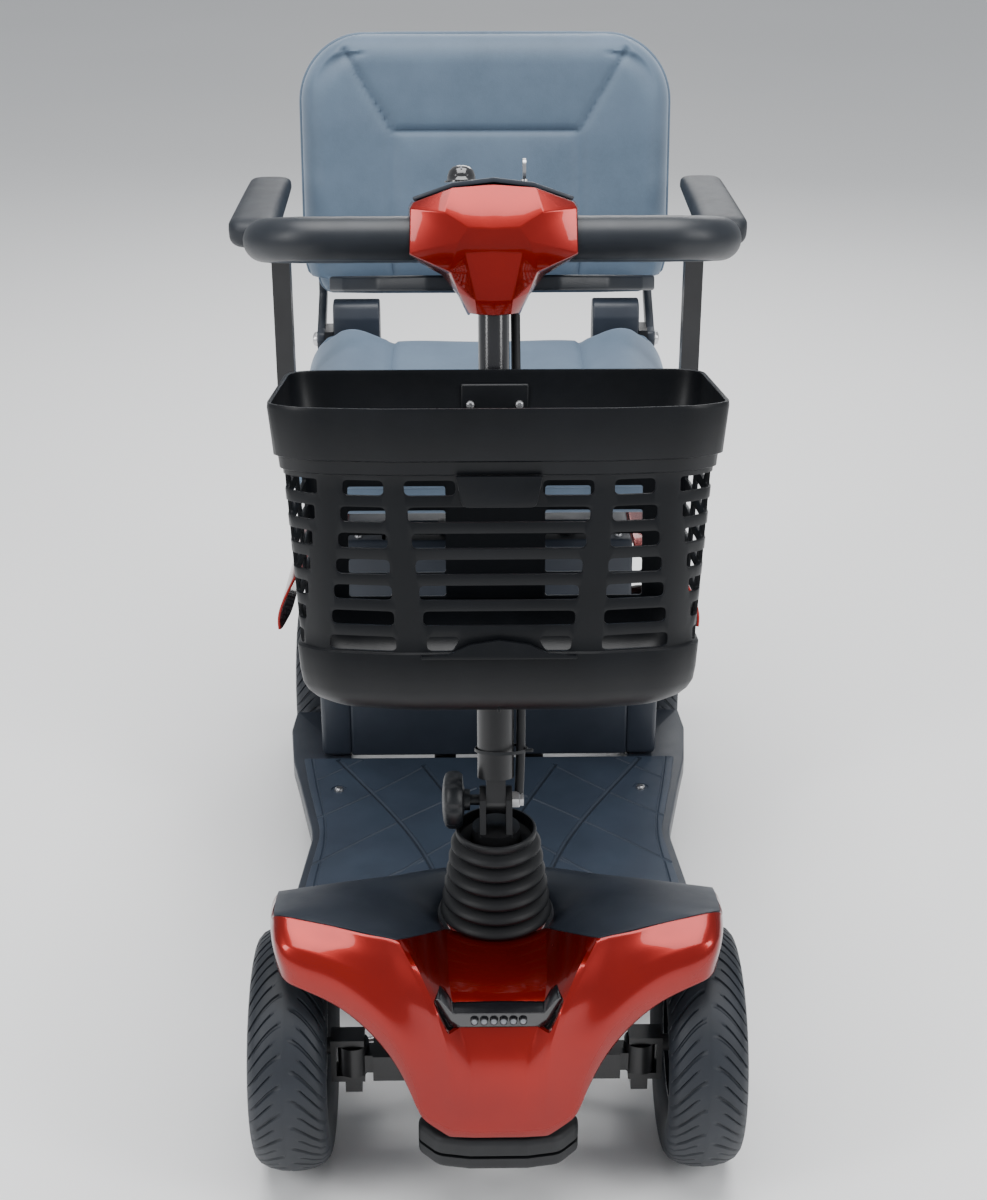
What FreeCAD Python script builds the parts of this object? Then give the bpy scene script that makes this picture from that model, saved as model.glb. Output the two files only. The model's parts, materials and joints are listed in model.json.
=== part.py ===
import FreeCAD, Part
import math
import os

# Four-wheel travel mobility scooter.
# Millimetres, +Z up. The scooter faces -Y, +X is its own left-hand side.
# The origin lies on the ground under the middle of the scooter's box.

os.makedirs("parts", exist_ok=True)
V = FreeCAD.Vector
X, Y, Z = V(1, 0, 0), V(0, 1, 0), V(0, 0, 1)

# ---------------------------------------------------------------- driving sizes
FRONT_AXLE_Y = -420.0
REAR_AXLE_Y = 355.0
TYRE_R = 115.0
TYRE_W = 72.0
RIM_R = 66.0
FRONT_WHEEL_X = 192.0
REAR_WHEEL_X = 208.0
KINGPIN_X = 137.0
STEER_Y = -380.0
ARM = 50.0
PIVOT_Y, PIVOT_Z = -368.0, 355.0
LEAN = 16.0
LOOP_HALF = 208.0
LOOP_DEPTH = 112.0
LOOP_UP = 512.0
FOAM_R = 19.5
TUBE_R = 11.0
RAIL_IN, RAIL_OUT = 40.0, 66.0
RAIL_LOW, RAIL_TOP = 88.0, 114.0
DECK_Z = 128.0
MAT_T = 3.0
POST_Y = 205.0
POST_R = 19.0
SEAT_Z = 505.0
CUSHION_HALF = 211.0
BACK_HALF = 216.0
BACK_HINGE = (337.0, 580.0)
ARM_X = 228.0
ARM_Y = 177.0
BODY_FRONT = 105.0
BODY_REAR = 448.0
SKIN = 3.0
RUN = 0.05          # radial clearance of a running fit
GAP = 0.4           # space between pieces that pass each other


# ---------------------------------------------------------------- helpers
def box(x0, x1, y0, y1, z0, z1):
    return Part.makeBox(x1 - x0, y1 - y0, z1 - z0, V(x0, y0, z0))


def rod(radius, start, end):
    start, end = V(*start), V(*end)
    return Part.makeCylinder(radius, (end - start).Length, start, end - start)


def pipe(outer, inner, start, end):
    return rod(outer, start, end).cut(rod(inner, start, end))


def fuse(first, *others):
    return first.multiFuse(list(others)).removeSplitter()


def both_sides(shape):
    return Part.makeCompound([shape, flipped(shape)])


def flipped(shape):
    return shape.mirror(V(0, 0, 0), X)


def wire(points):
    return Part.makePolygon([V(*p) for p in points] + [V(*points[0])])


def plate_x(profile, x0, x1):
    """Extrude a (y, z) outline from x0 to x1."""
    face = Part.Face(wire([(x0, y, z) for y, z in profile]))
    return face.extrude(V(x1 - x0, 0, 0))


def plate_z(outline, z0, z1):
    """Extrude an (x, y) outline from z0 to z1."""
    face = Part.Face(wire([(x, y, z0) for x, y in outline]))
    return face.extrude(V(0, 0, z1 - z0))


def lathe(profile, centre, axis):
    """Turn an (r, h) outline about an axis through centre."""
    face = Part.Face(wire([(r, 0, h) for r, h in profile]))
    solid = face.revolve(V(0, 0, 0), Z, 360)
    solid.Placement = FreeCAD.Placement(V(*centre), FreeCAD.Rotation(Z, axis))
    return solid


def rounded(x0, x1, y0, y1, z0, z1, radius, axis):
    """A box whose edges along one axis are rounded."""
    solid = box(x0, x1, y0, y1, z0, z1)
    edges = [e for e in solid.Edges if abs(e.tangentAt(e.FirstParameter).dot(axis)) > 0.99]
    return solid.makeFillet(radius, edges)


def pillow(x0, x1, y0, y1, z0, z1, radius):
    """A box with every edge rounded."""
    solid = box(x0, x1, y0, y1, z0, z1)
    return solid.makeFillet(radius, solid.Edges)


def skin(grid, thickness):
    """A thin closed shell that follows a grid of points, given right to left or left to right."""
    rows, cols = len(grid), len(grid[0])
    outer = [[V(*p) for p in row] for row in grid]
    normals = [[V(0, 0, 0) for _ in row] for row in grid]
    for i in range(rows - 1):
        for j in range(cols - 1):
            a, b, c, d = outer[i][j], outer[i][j + 1], outer[i + 1][j + 1], outer[i + 1][j]
            n = (c - a).cross(d - b)
            n.normalize()
            for p, q in ((i, j), (i, j + 1), (i + 1, j + 1), (i + 1, j)):
                normals[p][q] = normals[p][q] + n
    inner = [[p - n.normalize() * thickness for p, n in zip(prow, nrow)]
             for prow, nrow in zip(outer, normals)]
    faces = []

    def quad(a, b, c, d):
        for tri in ((a, b, c), (a, c, d)):
            faces.append(Part.Face(Part.makePolygon(list(tri) + [tri[0]])))

    for i in range(rows - 1):
        for j in range(cols - 1):
            quad(outer[i][j], outer[i][j + 1], outer[i + 1][j + 1], outer[i + 1][j])
            quad(inner[i][j], inner[i + 1][j], inner[i + 1][j + 1], inner[i][j + 1])
    for j in range(cols - 1):
        quad(outer[0][j], inner[0][j], inner[0][j + 1], outer[0][j + 1])
        quad(outer[-1][j], outer[-1][j + 1], inner[-1][j + 1], inner[-1][j])
    for i in range(rows - 1):
        quad(outer[i][0], outer[i + 1][0], inner[i + 1][0], inner[i][0])
        quad(outer[i][-1], inner[i][-1], inner[i + 1][-1], outer[i + 1][-1])
    shell = Part.Shell(faces)
    shell.sewShape()
    solid = Part.Solid(shell)
    if solid.Volume < 0:
        solid.reverse()
    return solid


def mirror_grid(half):
    """Complete a half grid that starts on the centre line with its mirror image."""
    return [[(-x, y, z) for x, y, z in reversed(row[1:])] + list(row) for row in half]


def on_tiller(shape):
    """Stand a shape, built along +Z from the tilt pivot, on the leaning tiller."""
    shape = shape.copy()
    shape.rotate(V(0, 0, 0), X, -LEAN)
    shape.translate(V(0, PIVOT_Y, PIVOT_Z))
    return shape


def save(name, shape):
    solids = shape.Solids
    good = all(s.isValid() and s.Volume > 0 for s in solids)
    print(f"{name:20s} solids {len(solids)} volume {shape.Volume / 1000:9.1f} cm3 ok {good}")
    shape.exportStep(f"parts/{name}.step")


# ---------------------------------------------------------------- chassis
def square_tube(x0, x1, y0, y1, z0, z1, wall, along):
    outer = box(x0, x1, y0, y1, z0, z1)
    if along == "y":
        return outer.cut(box(x0 + wall, x1 - wall, y0, y1, z0 + wall, z1 - wall))
    return outer.cut(box(x0, x1, y0 + wall, y1 - wall, z0 + wall, z1 - wall))


def main_frame():
    wall = 2.5
    rail = square_tube(RAIL_IN, RAIL_OUT, -405, 130, RAIL_LOW, RAIL_TOP, wall, "y")
    beam = square_tube(-118, 118, -435, -405, 84, 112, wall, "x")
    link = box(112, 126, -430, -410, 90, 110)
    boss = pipe(15, 6 + RUN, (KINGPIN_X, FRONT_AXLE_Y, 88), (KINGPIN_X, FRONT_AXLE_Y, 120))
    pieces = [rail, flipped(rail), fuse(boss, link.cut(rod(10, (KINGPIN_X, FRONT_AXLE_Y, 80),
              (KINGPIN_X, FRONT_AXLE_Y, 130))))]
    pieces.append(flipped(pieces[-1]))
    for y in (-290, -80, 104):
        pieces.append(box(-RAIL_IN, RAIL_IN, y, y + 22, 90, 112))
    head = rod(18, (0, STEER_Y, 96), (0, STEER_Y, 228))
    gusset = plate_x([(-420, 112), (-396, 112), (-396, 205)], -4, 4)
    seat = box(-RAIL_IN, RAIL_IN, -405, -355, 96, 102)
    bumper_arm = box(-26, 26, -528, -435, 90, 98)
    strut = box(56, 64, -432, -424, 112, 226)
    frame = fuse(beam, *pieces, head, gusset, seat, bumper_arm, strut, flipped(strut))
    return frame.cut(rod(10 + RUN, (0, STEER_Y, 80), (0, STEER_Y, 240)))


def rear_frame():
    low, top = 134, 160
    rail = square_tube(RAIL_IN, RAIL_OUT, 130, 452, low, top, 2.5, "y")
    step = box(RAIL_IN, RAIL_OUT, 130, 142, RAIL_LOW, low)
    arm = plate_x([(440, 134), (464, 134), (534, 56), (534, 34), (508, 34)], 48, 56)
    axle = rod(5, (48, 520, 45), (86, 520, 45))
    side = [rail, step, arm, axle]
    tray = box(-125, 125, 118, 186, top, top + 4)
    cross = box(-RAIL_OUT, RAIL_OUT, 178, 232, low, top)
    tail = box(-RAIL_OUT, 104, 440, 452, low, top)
    plate = box(-40, 40, 452, 460, low, 232)
    bearer = [box(s - 8, s + 8, REAR_AXLE_Y - 8, REAR_AXLE_Y + 8, 130, low) for s in (-53, 53)]
    socket = rod(25, (0, POST_Y, 120), (0, POST_Y, 410))
    lever_pin = rod(4, (104, 446, 147), (116, 446, 147))
    frame = fuse(cross, tray, tail, plate, socket, lever_pin, *side,
                 *[flipped(s) for s in side], *bearer)
    frame = frame.cut(rod(POST_R + RUN, (0, POST_Y, 110), (0, POST_Y, 420)))
    for z in (172, 212):
        frame = frame.cut(rod(5.5, (0, 440, z), (0, 470, z)))
    return frame


def footboard_outline(inset):
    half = [(82, -325), (82, -262), (190, -258), (209, -236), (209, -165), (200, -65),
            (224, 53), (235, 104), (243, 180), (240, 226)]
    half = [(x - inset, y + (inset if y < -200 else 0)) for x, y in half]
    return half + [(-x, y) for x, y in reversed(half)]


def footboard():
    under = 104
    deck = plate_z(footboard_outline(0), under, DECK_Z)
    hollow = plate_z(footboard_outline(5), under - 1, DECK_Z - 6)
    deck = deck.cut(hollow)
    deck = deck.cut(box(-166, 166, BODY_FRONT, 230, 90, 140))
    rib = box(RAIL_IN, RAIL_OUT, -250, 90, RAIL_TOP, DECK_Z - 5)
    riser = box(-80, 80, -325, -320, DECK_Z - 2, 232)
    rear = box(170, 238, 100, 104, under, DECK_Z - 3)
    deck = fuse(deck, rib, flipped(rib), riser, rear, flipped(rear))
    return deck.cut(box(-RAIL_OUT - GAP, RAIL_OUT + GAP, -330, -315, 100, RAIL_TOP))


def floor_mat():
    half = [(74, -317), (74, -254), (182, -250), (200, -230), (200, -165), (191, -65),
            (212, 40), (222, 102)]
    return plate_z(half + [(-x, y) for x, y in reversed(half)], DECK_Z, DECK_Z + MAT_T)


# Half of the nose and fender skin, from the centre line outwards. Each column runs from the
# seam with the dark top panel, over the crease, down to the edge of the wheel arch.
NOSE = [
    ((0, -434, 237), (0, -529, 233), (0, -533, 217), (0, -545, 177), (0, -542, 109)),
    ((47.5, -407, 236), (50, -520, 240), (38, -529, 219), (20, -544.5, 177.5), (22, -542, 109)),
    ((88, -487, 281), (64, -514, 256), (54, -526, 232), (38, -543, 183), (44, -541, 109.5)),
    ((101, -483, 282), (90, -507, 261), (80, -519, 242), (72, -536, 199), (68.4, -538, 127)),
    ((118, -479, 282.5), (108, -500, 266), (100, -511, 250), (90, -530, 214.7), (77.7, -533, 156)),
    ((140, -472, 284), (130, -490, 274), (122, -503, 260), (109, -520, 236), (93.8, -525, 187)),
    ((160, -467, 285.5), (153, -485, 277), (147, -497, 268), (139, -508, 255), (115.6, -515, 210)),
    ((180, -462, 287), (175, -478, 280), (170, -490, 272), (165, -500, 259.5), (142.8, -505, 230)),
    ((195, -458, 288), (194, -472, 282), (192, -484, 274), (190, -492, 263.5), (178.7, -495, 241)),
    ((202, -450, 286), (203, -460, 280), (202, -468, 274), (201, -476, 266), (197, -486, 244)),
    ((204, -400, 270), (206, -400, 266), (207, -400, 262), (207, -400, 255), (206, -400, 238)),
    ((204, -376, 262), (205, -376, 258), (206, -376, 254), (206, -376, 248), (205, -376, 236)),
]
# The dark top panel: inner edge round the steering boot, middle, outer edge.
TOP_PANEL = [
    ((0, -326, 246), (0, -322, 250), (0, -316, 248)),
    ((20, -330, 246), (32, -326, 252), (48, -318, 250)),
    ((38, -342, 245), (66, -338, 258), (95, -352, 262)),
    ((49, -356, 243), (90, -362, 268), (140, -370, 268)),
    ((54, -370, 241), (110, -375, 276), (201, -377, 262)),
    ((55, -380, 240), (115, -395, 280), (201, -398, 270)),
    ((55, -385, 240), (110, -415, 284), (199, -447, 286)),
    ((54, -391, 239), (100, -430, 284), (178, -459, 287)),
    ((52, -397, 238), (92, -442, 280), (138, -469, 284)),
    ((50, -400, 238), (82, -448, 274), (116, -476, 282.5)),
    ((48, -403, 237), (68, -450, 262), (89, -483, 281)),
]


def front_shroud():
    half = [list(row) for row in zip(*NOSE)]
    shell = skin(mirror_grid(half), SKIN)
    lamp = box(-56, 56, -560, -522, 218, 233)
    return shell.cut(lamp)


def front_top_panel():
    half = [list(row) for row in zip(*TOP_PANEL)]
    return skin(mirror_grid(half), SKIN)


def headlight():
    outline = [(-55, -518), (55, -518), (52, -524), (30, -532), (-30, -532), (-52, -524)]
    return plate_z(outline, 218.5, 232.5)


def front_bumper():
    half = [(26, -545), (58, -538), (73, -520), (73, -505), (0, -505)]
    outline = [(-x, y) for x, y in reversed(half[:-1])] + half[:-1]
    solid = plate_z(outline, 70, 104)
    edges = [e for e in solid.Edges if abs(e.tangentAt(e.FirstParameter).z) < 0.1
             and e.BoundBox.ZMax < 71 and e.BoundBox.YMax < -504]
    solid = solid.makeFillet(8, edges)
    return solid.cut(box(-26.3, 26.3, -530, -500, 89.7, 98.3))


def steering_boot():
    low, high, folds = 236.0, 326.0, 6
    step = (high - low) / folds
    outer = [(44, low), (45.5, low + 5)]
    for i in range(folds):
        radius = 51 - 9 * i / (folds - 1)
        outer += [(radius, low + step * (i + 0.45)), (radius - 8, low + step * (i + 0.98))]
    outer.append((33, high + 2))
    inner = [(r - 2.5, h) for r, h in reversed(outer[1:-1])]
    profile = outer + [(23, high + 2), (23, high - 1)] + inner + [(42, low)]
    return lathe(profile, (0, STEER_Y, 0), Z)


# ---------------------------------------------------------------- steering
def steering_stem():
    shaft = rod(10, (0, STEER_Y, 62), (0, STEER_Y, 320))
    collar = rod(16, (0, STEER_Y, 228 + GAP), (0, STEER_Y, 236))
    base = rod(22, (0, STEER_Y, 316), (0, STEER_Y, 334))
    cheek = plate_x([(-397, 332), (-356, 332), (-352, 349), (-354, 362), (-368, 369), (-382, 362)],
                    9.3, 15)
    pitman = plate_z([(-14, STEER_Y), (-8, STEER_Y + ARM + 8), (8, STEER_Y + ARM + 8),
                      (14, STEER_Y)], 67, 73)
    hub = rod(14, (0, STEER_Y, 67), (0, STEER_Y, 73))
    pin = rod(4, (0, STEER_Y + ARM, 57), (0, STEER_Y + ARM, 83))
    stem = fuse(shaft, collar, base, cheek, flipped(cheek), pitman, hub, pin)
    return stem.cut(rod(5 + RUN, (-20, PIVOT_Y, PIVOT_Z), (20, PIVOT_Y, PIVOT_Z)))


def knuckle(side):
    """The stub axle, its yoke, king pin and steering arm; side is 1 for +X."""
    x = KINGPIN_X
    upper = box(126, 158, -431, -409, 121, 128)
    lower = box(126, 158, -431, -409, 80, 87)
    web = box(153, 158, -431, -409, 80, 128)
    pin = rod(6, (x, FRONT_AXLE_Y, 82), (x, FRONT_AXLE_Y, 126))
    stub = rod(8, (156, FRONT_AXLE_Y, TYRE_R), (214, FRONT_AXLE_Y, TYRE_R))
    drop = box(x - 8, x + 8, -430, -408, 67, 81)
    arm = box(x - 8, x + 8, -412, FRONT_AXLE_Y + ARM + 8, 67, 73)
    z = (73, 83) if side < 0 else (57, 67)
    ball = rod(4, (x, FRONT_AXLE_Y + ARM, z[0]), (x, FRONT_AXLE_Y + ARM, z[1]))
    solid = fuse(upper, lower, web, pin, stub, drop, arm, ball)
    return solid if side > 0 else flipped(solid)


def tie_rod(side):
    """Joins the pitman arm to one knuckle: the -X rod lies above the arms, the +X rod below."""
    z = (78.0 if side < 0 else 62.0)
    inner = (0, STEER_Y + ARM, z)
    outer = (side * KINGPIN_X, FRONT_AXLE_Y + ARM, z)
    bar = rod(4, inner, outer)
    solid = fuse(bar, *[rod(9, (p[0], p[1], z - 4.5), (p[0], p[1], z + 4.5))
                        for p in (inner, outer)])
    solid = solid.cut(rod(4 + RUN, (0, inner[1], z - 8), (0, inner[1], z + 8)))
    return solid.cut(rod(4.6, (outer[0], outer[1], z - 8), (outer[0], outer[1], z + 8)))


def tyre(x, y):
    half = TYRE_W / 2
    profile = [(RIM_R, -half + 10), (RIM_R + 12, -half + 2), (RIM_R + 30, -half),
               (TYRE_R - 10, -half + 4), (TYRE_R - 2, -half + 15), (TYRE_R, 0)]
    profile += [(r, -h) for r, h in reversed(profile[:-1])]
    return lathe(profile, (x, y, TYRE_R), X)


def rim(x, y, bore, side):
    """A five-hole wheel disc in a barrel, with a hub and a cap on its outer face."""
    half = TYRE_W / 2 - 10
    profile = [(bore, -14), (19, -14), (19, -4), (48, 2), (55, -half), (RIM_R, -half),
               (RIM_R, half), (55, half), (48, 8), (19, 10), (19, 24), (bore, 24)]
    solid = lathe(profile, (0, 0, 0), X if side > 0 else -X)
    for i in range(5):
        angle = math.radians(72 * i)
        dy, dz = 33 * math.cos(angle), 33 * math.sin(angle)
        solid = solid.cut(rod(8.5, (-40, dy, dz), (40, dy, dz)))
    cap = rod(17, (side * 24, 0, 0), (side * 30, 0, 0))
    solid = Part.makeCompound([solid, cap])
    solid.translate(V(x, y, TYRE_R))
    return solid


# ---------------------------------------------------------------- drive and power
def drive_unit():
    y, z = REAR_AXLE_Y, TYRE_R
    gearbox = rod(46, (-32, y, z), (32, y, z))
    motor = rod(37, (0, 237, z), (0, 325, z))
    brake = rod(28, (0, 233, z), (0, 237, z))
    tubes = pipe(15, 8.5 + RUN, (-166, y, z), (166, y, z))
    unit = fuse(gearbox, motor, brake, tubes)
    return unit.cut(rod(8.5 + RUN, (-170, y, z), (170, y, z)))


def axle_shaft(side):
    shaft = rod(8.5, (side * 2, REAR_AXLE_Y, TYRE_R), (side * 231, REAR_AXLE_Y, TYRE_R))
    return shaft


def controller():
    body = box(-36, 36, 144, 174, 132, 156)
    fins = [box(-36 + i * 12, -30 + i * 12, 144, 174, 156, 159) for i in range(6)]
    return fuse(body, *fins)


def battery_case():
    outer = rounded(-122, 122, 120, 176, 165, 405, 8, Z)
    lug = box(50 + GAP, 58, 152, 168, 404, 414)
    case = fuse(outer.cut(box(-118, 118, 124, 172, 169, 395)), lug, flipped(lug))
    return case.cut(rod(3.5 + RUN, (-60, 162, 409.5), (60, 162, 409.5)))


def battery_cells():
    return Part.makeCompound([box(-117, -1, 125, 171, 169, 360), box(1, 117, 125, 171, 169, 360)])


def battery_handle():
    """A folding bail that lies on the battery's lid, hinged at its rear edge."""
    bail = rounded(-50, 50, 128, 164.8, 406.6, 413.5, 5, Z)
    bail = bail.cut(rounded(-38, 38, 138, 154, 400, 420, 5, Z))
    return fuse(bail, rod(3.5, (-57, 162, 409.5), (57, 162, 409.5)))


# ---------------------------------------------------------------- rear body
def rear_cover():
    side = [(BODY_FRONT, 131.5), (BODY_FRONT, 395), (118, 408), (290, 408), (390, 366),
            (BODY_REAR, 300), (BODY_REAR, 165), (430, 165)]
    inside = [(BODY_FRONT + SKIN, 120), (BODY_FRONT + SKIN, 393), (119, 404.5), (289, 404.5),
              (388, 363), (BODY_REAR - SKIN, 298), (BODY_REAR - SKIN, 160), (429, 120)]
    cover = plate_x(side, -165, 165).cut(plate_x(inside, -162, 162))
    wing = box(165, 200, BODY_FRONT, 232, 131.5, 296)
    wing = wing.cut(box(160, 197, BODY_FRONT + SKIN, 240, 120, 293))
    cover = fuse(cover, wing, flipped(wing))
    cover = cover.cut(rounded(-123, 123, 119, 177, 380, 430, 8, Z))
    cover = cover.cut(box(-38, 38, 440, 470, 150, 236))
    cover = cover.cut(box(-163, 163, 300, 410, 100, 132))
    return cover.cut(rod(26, (0, POST_Y, 380), (0, POST_Y, 430)))


# Crown of the fender over a rear wheel: (y, inner top z, outer lower edge z).
FENDER = [(105, 398, 302), (130, 405, 292), (180, 406, 278), (232, 405, 262), (290, 405, 252),
          (350, 390, 248), (400, 362, 247), (446, 312, 244), (478, 262, 232)]


def rear_side_panels():
    grid = []
    for y, top, edge in FENDER:
        grid.append([(166, y, top), (192, y, top - 8), (222, y, top - 32),
                     (238, y, (top - 32 + edge) / 2), (243, y, edge + 14), (242, y, edge)])
    return both_sides(skin(grid, SKIN))


def rear_bumper():
    return both_sides(pillow(92, 164, BODY_REAR, 476, 172, 206, 8))


def tail_lights():
    return both_sides(rounded(104, 152, BODY_REAR, 456, 246, 276, 8, Y))


def freewheel_lever():
    hub = rod(8, (104 + GAP, 446, 147), (113, 446, 147))
    arm = plate_x([(446, 139.5), (500, 146), (508, 152), (500, 157), (446, 154.5)], 104 + GAP, 113)
    return fuse(hub, arm).cut(rod(4 + RUN, (100, 446, 147), (120, 446, 147)))


def roller(side):
    y, z = 520, 45
    wheel = lathe([(5 + RUN, -10), (22, -10), (25, -7), (25, 7), (22, 10), (5 + RUN, 10)],
                  (side * 68, y, z), X)
    return wheel


def chassis_fasteners():
    """Bolt heads under the rails, and the nuts on the anti-tip axles."""
    bolts = [rod(5, (53, y, 83.5), (53, y, RAIL_LOW)) for y in (-232, -100, 40)]
    nut = pipe(8, 5 + RUN, (80, 520, 45), (86, 520, 45))
    side = Part.makeCompound(bolts + [nut])
    return both_sides(side)


# ---------------------------------------------------------------- tiller
def tiller_lower_tube():
    tube = pipe(17, 14.1, (0, 0, 30), (0, 0, 330))
    floor = rod(17, (0, 0, 22), (0, 0, 30))
    lug = box(-9, 9, -12, 12, 0, 24)
    eye = rod(12, (-9, 0, 0), (9, 0, 0))
    return on_tiller(fuse(tube, floor, lug, eye).cut(rod(5 + RUN, (-20, 0, 0), (20, 0, 0))))


def tiller_upper_tube():
    return on_tiller(pipe(14, 11.5, (0, 0, 250), (0, 0, 496)))


# The head's front shell: (height up the tiller, half width, front face, side face).
HEAD = [(556, 40, -20, 2), (546, 66, -27, -4), (530, 72, -33, -4), (512, 74, -36, -2),
        (496, 69, -34, -3), (484, 36, -33, -6), (466, 29, -30, -4), (444, 21, -24, 0)]


def head_front_shell():
    grid = []
    for up, half, front, side in HEAD:
        grid.append([(0, front, up), (half * 0.42, front + 2, up),
                     (half * 0.86, (front + side) / 2 - 2, up), (half, side, up)])
    shell = skin(mirror_grid(grid), SKIN)
    return on_tiller(shell.cut(loop_space()))


def loop_space():
    return rod(FOAM_R + 0.3, (-90, 0, LOOP_UP), (90, 0, LOOP_UP))


def head_rear_shell():
    profile = [(-6, 452), (-6, 552), (4, 560), (34, 552), (44, 528), (40, 500), (26, 478), (22, 452)]
    outer = plate_x(profile, -70, 70)
    core = plate_x([(-20, 440), (-20, 550), (4, 556.5), (31, 549), (40.5, 527), (37, 502),
                    (23, 480), (19, 440)], -66.5, 66.5)
    shell = outer.cut(core).cut(box(-90, 90, -60, 60, 440, 484))
    shell = shell.cut(box(-90, 90, -30, 1.5, 440, 570)).cut(loop_space())
    shell = shell.cut(rod(3 + RUN, (-28, 17, 540), (-28, 17, 580)))
    shell = shell.cut(rod(3 + RUN, (28, 17, 540), (28, 17, 580)))
    shell = shell.cut(rod(5 + RUN, (0, 22, 540), (0, 22, 580)))
    return on_tiller(shell)


def loop(radius):
    """The closed handlebar loop as a solid of the given section radius."""
    bend = LOOP_DEPTH / 2
    straight = LOOP_HALF - bend
    parts = [rod(radius, (-straight, y, LOOP_UP), (straight, y, LOOP_UP)) for y in (0, LOOP_DEPTH)]
    circle = Part.Face(Part.Wire(Part.makeCircle(radius, V(straight, 0, LOOP_UP), X)))
    end = circle.revolve(V(straight, bend, LOOP_UP), Z, 180)
    return fuse(*parts, end, flipped(end))


def handlebar_tube():
    post = rod(11.4, (0, 0, 470), (0, 0, LOOP_UP))
    return on_tiller(fuse(loop(TUBE_R), post))


def handlebar_foam():
    foam = loop(FOAM_R).cut(loop(TUBE_R + 0.02))
    return on_tiller(foam.cut(box(-75, 75, -40, 40, 480, 545)))


CABLE_RUN = ((23, 0, 2), (20, 12, 458))


def tiller_cable():
    return on_tiller(rod(4.5, *CABLE_RUN))


def basket_bracket():
    collar = pipe(22, 17.02, (0, 0, 268), (0, 0, 300)).cut(rod(5, *CABLE_RUN))
    arm = box(-10, 10, -34, -20, 270, 298)
    tongue = box(-22, 22, -34, -29, 215, 298)
    return on_tiller(fuse(collar, arm, tongue))


def tilt_knob():
    x = -50
    grip = lathe([(0, 0), (24, 0), (27, 3), (27, 17), (24, 20), (10, 20), (10, 26), (0, 26)],
                 (x, PIVOT_Y, PIVOT_Z), X)
    shaft = rod(5, (x + 20, PIVOT_Y, PIVOT_Z), (16, PIVOT_Y, PIVOT_Z))
    return fuse(grip, shaft)


THROTTLE_BORE = 18.9      # clears the tube through the whole swing


def throttle_paddles():
    blade = [(14, 4), (60, 14), (105, 34), (138, 62), (152, 84), (140, 88), (120, 72),
             (90, 54), (50, 38), (14, 32)]
    half = plate_z(blade, 462, 474)
    hub = rod(16, (0, 22, 440 + 8), (0, 22, 474))
    stem = rod(2.5, (0, 22, 470), (0, 22, 490))
    bridge = plate_z([(-16, 6), (16, 6), (16, 32), (-16, 32)], 462, 474)
    solid = fuse(half, flipped(half), hub, stem, bridge)
    solid = solid.cut(rod(THROTTLE_BORE, (0, 0, 430), (0, 0, 480)))
    return on_tiller(solid)


def speed_dial():
    knob = rod(13, (-28, 17, 561), (-28, 17, 574))
    knob = knob.makeFillet(3, [e for e in knob.Edges if e.BoundBox.ZMin > 573.9])
    return on_tiller(fuse(knob, rod(3, (-28, 17, 546), (-28, 17, 562))))


def key():
    barrel = rod(3, (28, 17, 546), (28, 17, 564))
    bow = box(26.6, 29.4, 8, 26, 564, 582)
    bow = bow.makeFillet(6, [e for e in bow.Edges if abs(e.tangentAt(e.FirstParameter).x) > 0.9])
    return on_tiller(fuse(barrel, bow.cut(rod(2, (20, 17, 577), (40, 17, 577)))))


def horn_button():
    return on_tiller(fuse(rod(5, (0, 22, 548), (0, 22, 563)), rod(3, (0, 22, 544), (0, 22, 549))))


# ---------------------------------------------------------------- basket
RIM_HALF, RIM_REAR, RIM_FRONT = 179.0, -110.0, 110.0
FLOOR_HALF, FLOOR_REAR, FLOOR_FRONT = 162.0, -97.0, 86.0
BASKET_DEPTH = 258.0
BASKET_TILT = 10.4
BASKET_RIM = (-409.5, 770.0)


def basket_ring(half, rear, front, down, cut):
    outline = [(half, rear + cut), (half, front - cut), (half - cut, front), (-half + cut, front),
               (-half, front - cut), (-half, rear + cut), (-half + cut, rear), (half - cut, rear)]
    return wire([(x, -f, -down) for x, f in outline])


def in_basket(shape):
    """Basket shapes are built with the rim at the origin, -Y forward, then tilted."""
    shape = shape.copy()
    shape.rotate(V(0, 0, 0), X, -BASKET_TILT)
    shape.translate(V(0, BASKET_RIM[0], BASKET_RIM[1]))
    return shape


def slot_rows():
    """Centre depth below the rim of each of the seven slot rows, and the slot's height."""
    first, last, count = 64.0, 193.0, 7
    pitch = (last - first) / (count - 1)
    return [(first + pitch * i, 12.5) for i in range(count)]


def both_cuts(*limits):
    """A cutter and its mirror image."""
    cutter = box(*limits)
    return [cutter, flipped(cutter)]


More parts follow.
